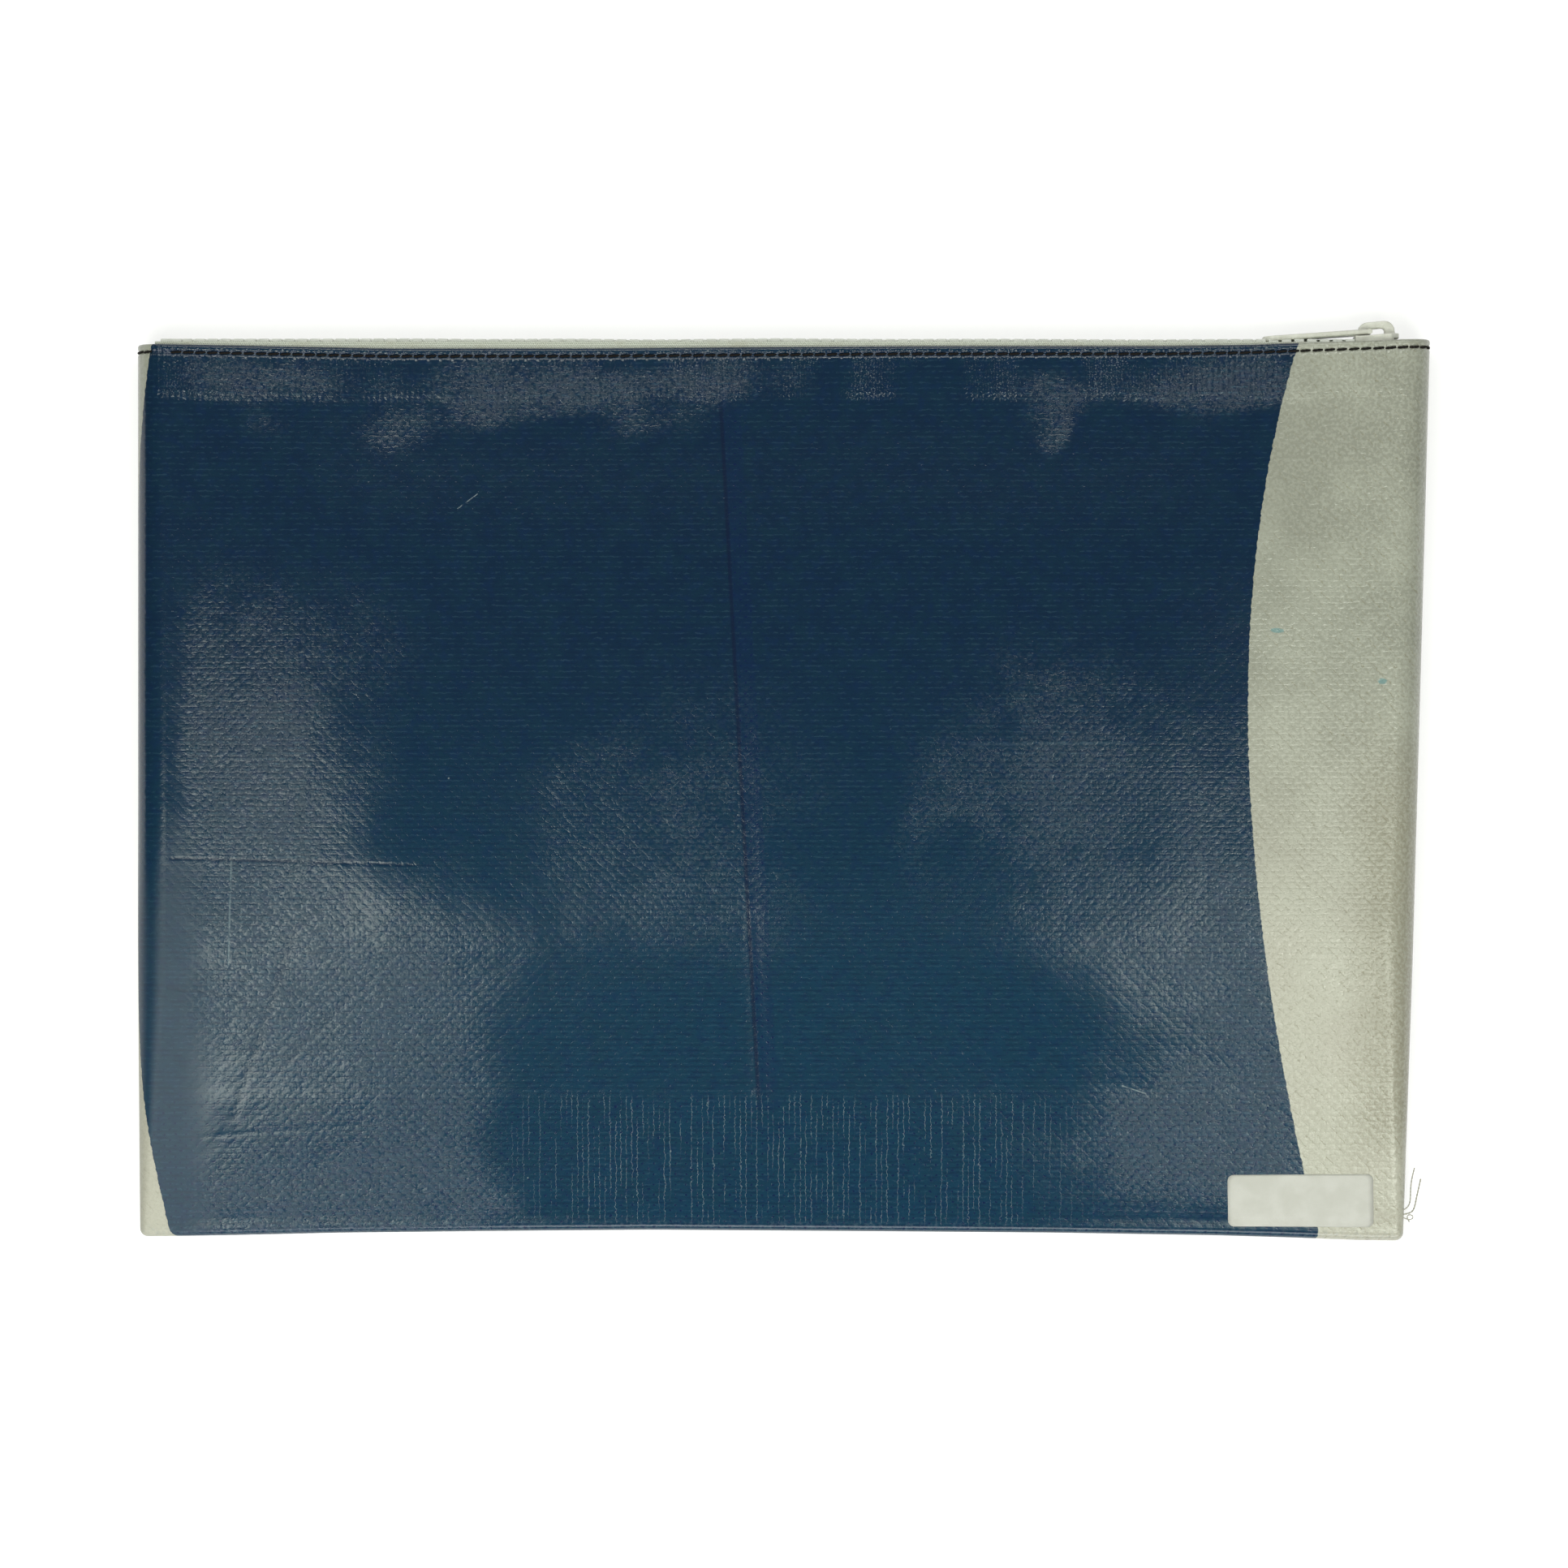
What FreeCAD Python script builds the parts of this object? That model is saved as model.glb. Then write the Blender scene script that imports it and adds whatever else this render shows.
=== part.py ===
import FreeCAD, Part
import math
import os
from types import SimpleNamespace

import Sketcher
from FreeCAD import Placement, Rotation, Vector

# A flat zip bag sewn from one folded sheet of coated tarpaulin, lying on its back panel.
# X runs along the zip, Y from the bottom fold up to the zip, Z from the back panel to the
# front panel.  The origin is the middle of the back panel's outer face.  Millimetres.

DRIVING_SIZES = {
    # the sheet
    "bag_width": 390.0,            # across the mouth
    "side_taper": 7.5,             # how far the right side leans in by the bottom fold
    "bag_height": 268.0,           # bottom fold to hem edge
    "bag_depth": 20.0,             # thickest, in the middle
    "mouth_depth": 17.0,           # over the two hems, and over the rolled sides
    "fold_depth": 5.0,             # over the bottom fold
    "tarp_thickness": 0.8,
    "hem_depth": 15.0,             # turned in at the mouth
    "crown_from_side": 75.0,       # where the front panel levels off, from each side
    "crown_from_fold": 100.0,
    "crown_from_hem": 70.0,
    "seam_allowance": 8.0,         # side seam edges, turned inside
    "seam_trim": 3.0,              # allowance cut back from fold and hem
    # the doubling strip inside the bottom fold
    "base_strip_height": 43.0,
    "base_strip_gap": 0.1,
    # sewing
    "stitch_pitch": 3.65,
    "stitch_length": 2.7,
    "thread_width": 0.6,
    "thread_height": 0.4,
    "hem_stitch_inset": 2.4,       # seam line below the hem edge
    "groove_width": 1.0,
    "groove_depth": 0.45,
    "side_stitch_inset": 1.5,      # seam line from the side's inner bend
    "stitch_end_margin": 3.0,
    "tail_thickness": 0.6,
    "tail_bend": 11.0,
    "tail_turn": 80.0,             # degrees
    "tail_from_fold": 6.0,
    "tail_height": 4.0,            # where it leaves the side seam
    "tail_gap": 0.3,
    # the zip
    "tape_thickness": 0.6,
    "tape_leg": 12.0,              # sewn behind the hem
    "tape_rise": 1.4,              # tape above the hem edge
    "tape_end_gap": 0.7,
    "bead_width": 1.2,
    "bead_thickness": 1.2,
    "tape_parting": 3.4,           # between the two beaded edges
    "tooth_pitch": 3.85,
    "tooth_gap": 0.95,             # between roots on one tape
    "tooth_head": 1.8,
    "tooth_thickness": 2.7,
    "chain_width": 7.6,
    "mesh_clearance": 0.15,
    "stop_clearance": 0.3,
    "bottom_stop_length": 6.3,
    "bottom_stop_inset": 7.2,      # from the left side
    "top_stop_length": 4.4,
    "slider_inset": 22.9,          # slider's tail from the right side, plus its own length
    # the slider
    "slider_length": 13.2,
    "slider_wall": 1.1,
    "slider_clearance": 0.15,
    "flange_thickness": 1.0,
    "tape_slot_clearance": 0.25,
    "nose_spread": 1.0,
    "nose_length": 7.4,
    "nose_tip_length": 2.4,
    "nose_tip_width": 6.0,
    "post_length": 4.0,
    "post_width": 2.4,
    "post_from_tip": 6.9,          # tip of the nose to the middle of the post
    "slider_edge_radius": 0.5,
    # the bail and the pull tab
    "bail_thickness": 2.2,
    "bail_width": 3.0,
    "bail_leg_extra": 0.95,        # front leg stands thicker
    "bail_from_tail": 4.4,         # slider's tail to the pull tab's axis
    "bail_window": 4.0,
    "bail_edge_radius": 0.6,
    "puller_clearance": 0.15,
    "puller_length": 33.0,
    "puller_width": 8.0,
    "puller_thickness": 1.6,
    "puller_eye": 5.0,
    "puller_eye_clearance": 0.4,
    "puller_nose_radius": 3.2,
    "puller_edge_radius": 0.5,
    "puller_sag": 1.4,             # degrees below the zip's line when it lies down
    # the stuck-on label
    "label_length": 44.0,
    "label_height": 15.6,
    "label_thickness": 0.15,
    "label_corner": 1.8,
    "label_from_side": 31.4,       # label's middle from the right side at the fold
    "label_from_fold": 11.4,
}


class Size:
    """A value that carries the spreadsheet expression it is worked out by."""

    def __init__(self, value, text):
        self.value = float(value)
        self.text = text

    def __add__(self, other):
        other = as_size(other)
        return Size(self.value + other.value, f"({self.text} + {other.text})")

    def __sub__(self, other):
        other = as_size(other)
        return Size(self.value - other.value, f"({self.text} - {other.text})")

    def __mul__(self, other):
        other = as_size(other)
        return Size(self.value * other.value, f"({self.text} * {other.text})")

    def __truediv__(self, other):
        other = as_size(other)
        return Size(self.value / other.value, f"({self.text} / {other.text})")

    def __neg__(self):
        return self * -1

    def root(self):
        return Size(math.sqrt(self.value), f"sqrt({self.text})")

    def floor(self):
        return Size(math.floor(self.value), f"floor({self.text})")

    def arc_tangent(self):
        return Size(math.degrees(math.atan(self.value)), f"atan({self.text})")


def as_size(value):
    if isinstance(value, Size):
        return value
    return Size(value, f"({value})")


doc = FreeCAD.newDocument("ZipBag")
sheet = doc.addObject("Spreadsheet::Sheet", "Sizes")
for row, (alias, value) in enumerate(DRIVING_SIZES.items(), start=1):
    sheet.set(f"A{row}", alias)
    sheet.set(f"B{row}", str(value))
    sheet.setAlias(f"B{row}", alias)
doc.recompute()
size = SimpleNamespace(
    **{alias: Size(value, f"Sizes.{alias}") for alias, value in DRIVING_SIZES.items()}
)

FRONT = 1
BACK = -1
CLOCKWISE = "clockwise"
COUNTER_CLOCKWISE = "counter-clockwise"
ARC_CENTRE = 3

# Lines that several pieces share.
half_width = size.bag_width / 2
hem_line = size.bag_height / 2
fold_line = -hem_line
fold_radius = size.fold_depth / 2
fold_axis = fold_line + fold_radius
side_radius = size.mouth_depth / 2
side_bend = half_width - side_radius
right_bend_at_fold = side_bend - size.side_taper
mid_depth = size.mouth_depth / 2
slope_run = size.crown_from_fold - fold_radius
panel_slope = (size.bag_depth - size.fold_depth) / slope_run
side_lean = size.side_taper / size.bag_height

tape_face = mid_depth - size.tarp_thickness * 2      # tape's sewn face, from the zip's middle
tape_edge = size.tape_parting / 2
chain_y = hem_line + size.tape_rise - size.tape_thickness / 2
chain_half = size.chain_width / 2
tooth_half = size.tooth_thickness / 2
slider_tip = half_width - size.slider_inset + size.slider_length
slider_tail = slider_tip - size.slider_length
stop_face = half_width * -1 + size.bottom_stop_inset + size.bottom_stop_length
channel_half_height = tooth_half + size.slider_clearance
plate_top = channel_half_height + size.slider_wall
bar_radius = size.puller_thickness / 2
pivot_x = slider_tail + size.bail_from_tail
pivot_height = plate_top + size.puller_clearance + bar_radius


def bind(item, **sizes):
    for name, value in sizes.items():
        item.setExpression(name, as_size(value).text)


def put(item, x=0, y=0, z=0):
    """Place an object from the shared lines, in its sheet expressions as well."""
    for axis, value in zip("xyz", (x, y, z)):
        item.setExpression(f"Placement.Base.{axis}", as_size(value).text)


def hold(sketch, kind, geometry, point, value):
    """Fix one coordinate of a sketch point, measured from the sketch's origin."""
    value = as_size(value)
    index = sketch.addConstraint(
        Sketcher.Constraint(kind, -1, 1, geometry, point, value.value)
    )
    sketch.setExpression(f"Constraints[{index}]", value.text)


def outline(sketch, corners):
    """A closed outline through the corners.

    A corner is (x, y), or (x, y, centre_x, turn) where the edge that leaves it is an arc
    round a centre at that x.  CLOCKWISE arcs bulge out of an outline given clockwise, and
    COUNTER_CLOCKWISE ones hollow it.
    """
    count = len(corners)
    shapes = []
    for index, corner in enumerate(corners):
        after = corners[(index + 1) % count]
        start, end = [Vector(as_size(x).value, as_size(y).value, 0)
                      for x, y, *_ in (corner, after)]
        turn = corner[3] if len(corner) > 2 else None
        if turn is None:
            sketch.addGeometry(Part.LineSegment(start, end))
        elif turn == CLOCKWISE:
            sketch.addGeometry(arc_between(end, start, as_size(corner[2]).value))
        else:
            sketch.addGeometry(arc_between(start, end, as_size(corner[2]).value))
        shapes.append((2, 1) if turn == CLOCKWISE else (1, 2))
    for index, (_, last_point) in enumerate(shapes):
        after = (index + 1) % count
        first_point = shapes[after][0]
        sketch.addConstraint(
            Sketcher.Constraint("Coincident", index, last_point, after, first_point)
        )
    for index, corner in enumerate(corners):
        first_point = shapes[index][0]
        hold(sketch, "DistanceX", index, first_point, corner[0])
        hold(sketch, "DistanceY", index, first_point, corner[1])
        if len(corner) > 2:
            hold(sketch, "DistanceX", index, ARC_CENTRE, corner[2])
    return sketch


def arc_between(start, end, centre_x):
    """A counter-clockwise arc whose centre, at centre_x, is as far from both ends."""
    rise = end.y - start.y
    across = (end.x - centre_x) ** 2 - (start.x - centre_x) ** 2
    centre_y = (start.y + end.y) / 2 + across / (2 * rise)
    centre = Vector(centre_x, centre_y, 0)
    radius = centre.distanceToPoint(start)
    from_angle = math.atan2(start.y - centre.y, start.x - centre.x)
    to_angle = math.atan2(end.y - centre.y, end.x - centre.x)
    circle = Part.Circle(centre, Vector(0, 0, 1), radius)
    return Part.ArcOfCircle(circle, from_angle, to_angle)


def origin_plane(body, role):
    return next(item for item in body.Origin.OriginFeatures if item.Role == role)


def new_body(name):
    body = doc.addObject("PartDesign::Body", name)
    body.Label = name
    return body


def body_sketch(body, role, name, corners):
    sketch = body.newObject("Sketcher::SketchObject", name)
    sketch.AttachmentSupport = [(origin_plane(body, role), "")]
    sketch.MapMode = "FlatFace"
    return outline(sketch, corners)


def pad(body, sketch, name, length, centred=True, reverse=False):
    feature = body.newObject("PartDesign::Pad", name)
    feature.Profile = sketch
    feature.Midplane = centred
    feature.Reversed = reverse
    bind(feature, Length=length)
    return feature


def cut_through(body, sketch, name):
    feature = body.newObject("PartDesign::Pocket", name)
    feature.Profile = sketch
    feature.Type = "ThroughAll"
    feature.Midplane = True
    return feature


def repeat(body, feature, role, pitch, count):
    """A row of equal solids along one of the body's own axes."""
    row = body.newObject("PartDesign::LinearPattern", f"{body.Name}_row")
    row.Originals = [feature]
    row.Direction = (next(o for o in body.Origin.OriginFeatures if o.Role == role), [""])
    row.Mode = "Spacing"
    bind(row, Offset=pitch, Occurrences=count)
    body.Tip = row
    return row


def round_edges(body, base, name, edges, radius):
    feature = body.newObject("PartDesign::Fillet", name)
    feature.Base = (base, edges)
    bind(feature, Radius=radius)
    return feature


def edges_where(shape, test):
    return [f"Edge{number}" for number, edge in enumerate(shape.Edges, start=1) if test(edge)]


def box_corners(left, bottom, right, top):
    return [(left, bottom), (left, top), (right, top), (right, bottom)]


# ---------------------------------------------------------------- the folded sheet

def free_sketch(name, rotation, corners, along=(0, 0, 0)):
    """A sketch that stands on its own in the shared frame."""
    sketch = doc.addObject("Sketcher::SketchObject", name)
    sketch.Placement = Placement(Vector(), rotation)
    put(sketch, *along)
    return outline(sketch, corners)


TO_YZ = Rotation(Vector(1, 1, 1), 120)
TO_XZ = Rotation(Vector(1, 0, 0), 90)
FLAT = Rotation()


def side_profile(inset, mouth_end):
    """The bag seen from its side: round fold, rising panel, level crown, hem."""
    low = as_size(inset)
    return [
        (fold_axis, low, fold_axis, CLOCKWISE),
        (fold_axis, size.fold_depth - inset),
        (fold_line + size.crown_from_fold, size.bag_depth - inset),
        (hem_line - size.crown_from_hem, size.bag_depth - inset),
        (hem_line - size.hem_depth, size.mouth_depth - inset),
        (mouth_end, size.mouth_depth - inset),
        (mouth_end, low),
    ]


def end_profile(inset, taper):
    """The bag seen along Y: rolled sides, with the front panel crowned between them."""
    low = as_size(inset)
    right_bend = side_bend - taper
    return [
        (-side_bend, low, -side_bend, CLOCKWISE),
        (-side_bend, size.mouth_depth - inset),
        (-half_width + size.crown_from_side, size.bag_depth - inset),
        (half_width - taper - size.crown_from_side, size.bag_depth - inset),
        (right_bend, size.mouth_depth - inset, right_bend, CLOCKWISE),
        (right_bend, low),
    ]


def pillow(name, inset, mouth_end):
    """The bag's closed form, drawn in by inset on every face but the mouth."""
    side = free_sketch(f"{name}_side", TO_YZ, side_profile(inset, mouth_end))
    slab = doc.addObject("Part::Extrusion", f"{name}_slab")
    slab.Base = side
    slab.DirMode = "Custom"
    slab.Dir = Vector(1, 0, 0)
    slab.Solid = True
    slab.Symmetric = True
    bind(slab, LengthFwd=size.bag_width * 2)
    ends = [
        free_sketch(f"{name}_at_mouth", TO_XZ, end_profile(inset, 0), (0, mouth_end, 0)),
        free_sketch(f"{name}_at_fold", TO_XZ, end_profile(inset, size.side_taper),
                    (0, fold_line, 0)),
    ]
    tunnel = doc.addObject("Part::Loft", f"{name}_tunnel")
    tunnel.Sections = ends
    tunnel.Solid = True
    tunnel.Ruled = True
    form = doc.addObject("Part::MultiCommon", name)
    form.Shapes = [slab, tunnel]
    return form


def slab_between(name, corners, bottom, top):
    """A flat piece with its outline in plan, from one height to another."""
    plan = free_sketch(f"{name}_plan", FLAT, corners, (0, 0, bottom))
    slab = doc.addObject("Part::Extrusion", name)
    slab.Base = plan
    slab.DirMode = "Normal"
    slab.Solid = True
    bind(slab, LengthFwd=top - bottom)
    return slab


def make_tarp_sheet():
    past_mouth = hem_line + size.tarp_thickness
    blank = pillow("blank_form", 0, hem_line)
    outer = doc.addObject("Part::Cut", "outer_form")
    outer.Base = blank
    outer.Tool = make_seam_grooves()
    inner = pillow("inner_form", size.tarp_thickness, past_mouth)
    shell = doc.addObject("Part::Cut", "single_layer")
    shell.Base = outer
    shell.Tool = inner
    layers = doc.addObject("Part::MultiFuse", "turned_in_layers")
    layers.Shapes = turned_in_layers()
    kept = doc.addObject("Part::MultiCommon", "layers_inside")
    kept.Shapes = [layers, outer]
    sewn = doc.addObject("Part::MultiFuse", "tarp_sheet")
    sewn.Label = "tarp_sheet"
    sewn.Shapes = [shell, kept]
    sewn.Refine = True
    return sewn


def make_seam_grooves():
    """The stitching draws each hem in along its seam line."""
    groove_mid = hem_line - size.hem_stitch_inset
    groove_end = side_bend - size.stitch_end_margin / 2
    groove = box_corners(-groove_end, groove_mid - size.groove_width / 2,
                         groove_end, groove_mid + size.groove_width / 2)
    grooves = doc.addObject("Part::MultiFuse", "seam_grooves")
    grooves.Shapes = [
        slab_between("front_groove", groove, size.mouth_depth - size.groove_depth,
                     size.bag_depth),
        slab_between("back_groove", groove, -size.groove_depth, size.groove_depth),
    ]
    return grooves


def turned_in_layers():
    """The sheet's edges: turned in at the hems, and inside along the side seams."""
    half_sheet = size.tarp_thickness / 2
    two_layers = size.tarp_thickness * 2
    three_layers = size.tarp_thickness * 3
    hem_foot = hem_line - size.hem_depth
    across_hem = box_corners(-half_width, hem_foot, half_width, hem_line)
    low_end = fold_axis + size.seam_trim
    high_end = hem_foot - size.seam_trim
    lean_low = side_lean * (hem_line - low_end)
    lean_high = side_lean * (hem_line - high_end)
    inner_edge = side_bend - size.seam_allowance
    return [
        slab_between("front_hem_turn", across_hem, size.mouth_depth - two_layers,
                     size.mouth_depth - half_sheet),
        slab_between("back_hem_turn", across_hem, half_sheet, two_layers),
        slab_between("left_allowance",
                     box_corners(-half_width, low_end, -inner_edge, high_end),
                     half_sheet, three_layers),
        slab_between("right_allowance",
                     [(inner_edge - lean_low, low_end), (inner_edge - lean_high, high_end),
                      (half_width - lean_high, high_end), (half_width - lean_low, low_end)],
                     half_sheet, three_layers),
    ]


def make_base_strip():
    """A second layer of sheet, folded round the inside of the bottom fold."""
    gap = size.base_strip_gap
    outer = size.tarp_thickness + gap
    inner = outer + size.tarp_thickness
    top = fold_line + size.base_strip_height
    rise = panel_slope * (top - fold_axis)
    body = new_body("base_strip")
    section = body_sketch(body, "YZ_Plane", "strip_section", [
        (fold_axis, outer, fold_axis, CLOCKWISE),
        (fold_axis, size.fold_depth - outer),
        (top, size.fold_depth - outer + rise),
        (top, size.fold_depth - inner + rise),
        (fold_axis, size.fold_depth - inner, fold_axis, COUNTER_CLOCKWISE),
        (fold_axis, inner),
        (top, inner),
        (top, outer),
    ])
    left = -side_bend + size.seam_allowance + gap
    right = right_bend_at_fold - size.seam_allowance - gap
    pad(body, section, "strip", right - left)
    put(body, x=(left + right) / 2)
    return body


# ---------------------------------------------------------------- sewing and label

def make_stitches(name, corner, along, count):
    """A row of stitches along one axis, from the corner of the first one."""
    body = new_body(name)
    width = size.thread_width / 2
    if along == "X_Axis":
        plan = box_corners(0, -width, size.stitch_length, width)
    else:
        plan = box_corners(-width, 0, width, size.stitch_length)
    stitch = pad(body, body_sketch(body, "XY_Plane", f"{name}_plan", plan),
                 f"{name}_stitch", size.thread_height, centred=False)
    doc.recompute()
    repeat(body, stitch, along, size.stitch_pitch, count)
    put(body, *corner)
    return body


def make_threads():
    hem_start = -side_bend + size.stitch_end_margin
    hem_count = ((side_bend * 2 - size.stitch_end_margin * 2) / size.stitch_pitch).floor()
    seam_line = hem_line - size.hem_stitch_inset
    front_floor = size.mouth_depth - size.groove_depth
    back_floor = size.groove_depth - size.thread_height
    low_end = fold_axis + size.seam_trim + size.stitch_end_margin
    high_end = hem_line - size.hem_depth - size.seam_trim - size.stitch_end_margin
    side_count = ((high_end - low_end) / size.stitch_pitch).floor()
    on_allowance = size.tarp_thickness * 3
    seam_x = side_bend - size.side_stitch_inset
    lean_low = side_lean * (hem_line - low_end)
    right = make_stitches("side_thread_right", (seam_x - lean_low, low_end, on_allowance),
                          "Y_Axis", side_count)
    bind(right, **{"Placement.Rotation.Angle": -side_lean.arc_tangent()})
    return [
        make_stitches("hem_thread_front", (hem_start, seam_line, front_floor), "X_Axis",
                      hem_count),
        make_stitches("hem_thread_back", (hem_start, seam_line, back_floor), "X_Axis",
                      hem_count),
        make_stitches("side_thread_left", (-seam_x, low_end, on_allowance), "Y_Axis",
                      side_count),
        right,
    ]


def make_thread_tail():
    """The loose end of the right side seam, curling up beside the edge."""
    tail = doc.addObject("Part::Torus", "seam_thread_tail")
    tail.Label = "seam_thread_tail"
    radius = size.tail_thickness / 2
    bind(tail, Radius1=size.tail_bend, Radius2=radius, Angle3=size.tail_turn)
    tail.Placement = Placement(Vector(), Rotation(Vector(0, 0, 1), -90))
    seam_end = fold_line + size.tail_from_fold
    bend_there = side_bend - side_lean * (hem_line - seam_end)
    below_bend = side_radius - size.tail_height
    reach = (side_radius * side_radius - below_bend * below_bend).root()
    put(tail, bend_there + reach + size.tail_gap, seam_end + size.tail_bend,
        size.tail_height)
    return tail


def make_label():
    """A thin stuck-on label, on the rising part of the front panel."""
    middle = fold_line + size.label_from_fold
    body = new_body("label")
    plan = body_sketch(body, "XY_Plane", "label_plan", box_corners(
        -size.label_length / 2, -size.label_height / 2,
        size.label_length / 2, size.label_height / 2))
    blank = pad(body, plan, "label_blank", size.label_thickness, centred=False)
    doc.recompute()
    upright = edges_where(blank.Shape, lambda edge: is_along(edge, Vector(0, 0, 1)))
    round_edges(body, blank, "label_corners", upright, size.label_corner)
    put(body, half_width - size.side_taper - size.label_from_side, middle,
        size.fold_depth + panel_slope * (middle - fold_axis))
    body.Placement = Placement(body.Placement.Base, Rotation(Vector(1, 0, 0), 1))
    bind(body, **{"Placement.Rotation.Angle": panel_slope.arc_tangent()})
    return body


def is_along(edge, direction):
    if len(edge.Vertexes) < 2:
        return False
    span = edge.Vertexes[1].Point - edge.Vertexes[0].Point
    return span.cross(direction).Length < 1e-6 and edge.Curve.TypeId == "Part::GeomLine"


# ---------------------------------------------------------------- the zip
# Across the zip, w is measured from its middle towards the front (+) or the back (-).

def make_tape(name, facing):
    """One tape: a beaded edge between the teeth, a level part, and a leg behind the hem."""
    thick = size.tape_thickness / 2
    bead = size.bead_thickness / 2
    bead_end = tape_edge + size.bead_width
    leg_inner = tape_face - size.tape_thickness
    leg_foot = -size.tape_rise - size.tape_leg
    corners = [
        (bead, tape_edge), (bead, bead_end), (thick, bead_end), (thick, tape_face),
        (leg_foot, tape_face), (leg_foot, leg_inner), (-thick, leg_inner),
        (-thick, bead_end), (-bead, bead_end), (-bead, tape_edge),
    ]
    corners = [(along, across * facing) for along, across in corners]
    if facing == BACK:
        corners.reverse()
    wall_radius = side_radius - size.tarp_thickness
    reach = (wall_radius * wall_radius - tape_face * tape_face).root()
    right = side_bend + reach - size.tape_end_gap - side_lean * size.hem_depth
    left = -side_bend - reach + size.tape_end_gap
    body = new_body(name)
    section = body_sketch(body, "YZ_Plane", f"{name}_section", corners)
    pad(body, section, f"{name}_strip", right - left)
    put(body, (left + right) / 2, chain_y, mid_depth)
    return body


def tape_slot(body, facing, base_name):
    """Cut the room that the beaded tape edge takes in a tooth or a stop."""
    thick = size.tape_thickness / 2
    bead = size.bead_thickness / 2
    bead_end = tape_edge + size.bead_width
    outside = chain_half * 2
    corners = [
        (-bead, tape_edge), (-bead, bead_end), (-thick, bead_end), (-thick, outside),
        (thick, outside), (thick, bead_end), (bead, bead_end), (bead, tape_edge),
    ]
    corners = [(along, across * facing) for along, across in corners]
    sketch = body_sketch(body, "YZ_Plane", f"{base_name}_slot_section", corners)
    return cut_through(body, sketch, f"{base_name}_slot")


def make_teeth(name, facing):
    """One row of moulded teeth, each gripping the tape's bead."""
    root = (size.tooth_pitch - size.tooth_gap) / 2
    head = size.tooth_head / 2
    head_end = tape_edge - size.mesh_clearance * 2 - size.bead_width / 4
    shoulder = head_end + size.mesh_clearance
    corners = [
        (-root, shoulder * facing), (-root, chain_half * facing),
        (root, chain_half * facing), (root, shoulder * facing),
        (head, shoulder * facing), (head, -head_end * facing),
        (-head, -head_end * facing), (-head, shoulder * facing),
    ]
    body = new_body(name)
    plan = body_sketch(body, "XZ_Plane", f"{name}_plan", corners)
    pad(body, plan, f"{name}_tooth", size.tooth_thickness)
    doc.recompute()
    slot = tape_slot(body, facing, name)
    doc.recompute()
    post_back = slider_tip - size.post_from_tip - size.post_length / 2
    room = post_back - stop_face - size.stop_clearance * 2 - root * 2
    first = stop_face + size.stop_clearance + root
    if facing == BACK:
        room = room - size.tooth_pitch / 2
        first = first + size.tooth_pitch / 2
    count = (room / size.tooth_pitch).floor() + 1
    row = body.newObject("PartDesign::LinearPattern", f"{name}_row")
    row.Originals = [body.Group[1], slot]
    row.Direction = (next(o for o in body.Origin.OriginFeatures if o.Role == "X_Axis"), [""])
    row.Mode = "Spacing"
    row.TransformMode = "Whole shape"
    bind(row, Offset=size.tooth_pitch, Occurrences=count)
    body.Tip = row
    put(body, first, chain_y, mid_depth)
    return body


def make_bottom_stop():
    """The block that joins both tapes at the left end."""
    body = new_body("bottom_stop")
    half = size.bottom_stop_length / 2
    plan = body_sketch(body, "XZ_Plane", "bottom_stop_plan",
                       box_corners(-half, -chain_half, half, chain_half))
    pad(body, plan, "bottom_stop_block", size.tooth_thickness)
    doc.recompute()
    tape_slot(body, FRONT, "stop_front")
    tape_slot(body, BACK, "stop_back")
    put(body, stop_face - half, chain_y, mid_depth)
    return body


def make_top_stop(name, facing):
    """The block that ends one row of teeth at the right end."""
    body = new_body(name)
    half = size.top_stop_length / 2
    inner = tape_edge - size.mesh_clearance * 2
    corners = box_corners(-half, inner * facing, half, chain_half * facing)
    plan = body_sketch(body, "XZ_Plane", f"{name}_plan", corners)
    pad(body, plan, f"{name}_block", size.tooth_thickness)
    doc.recompute()
    tape_slot(body, facing, name)
    put(body, slider_tip + size.stop_clearance + half, chain_y, mid_depth)
    return body


# ---------------------------------------------------------------- slider and pull tab

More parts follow.
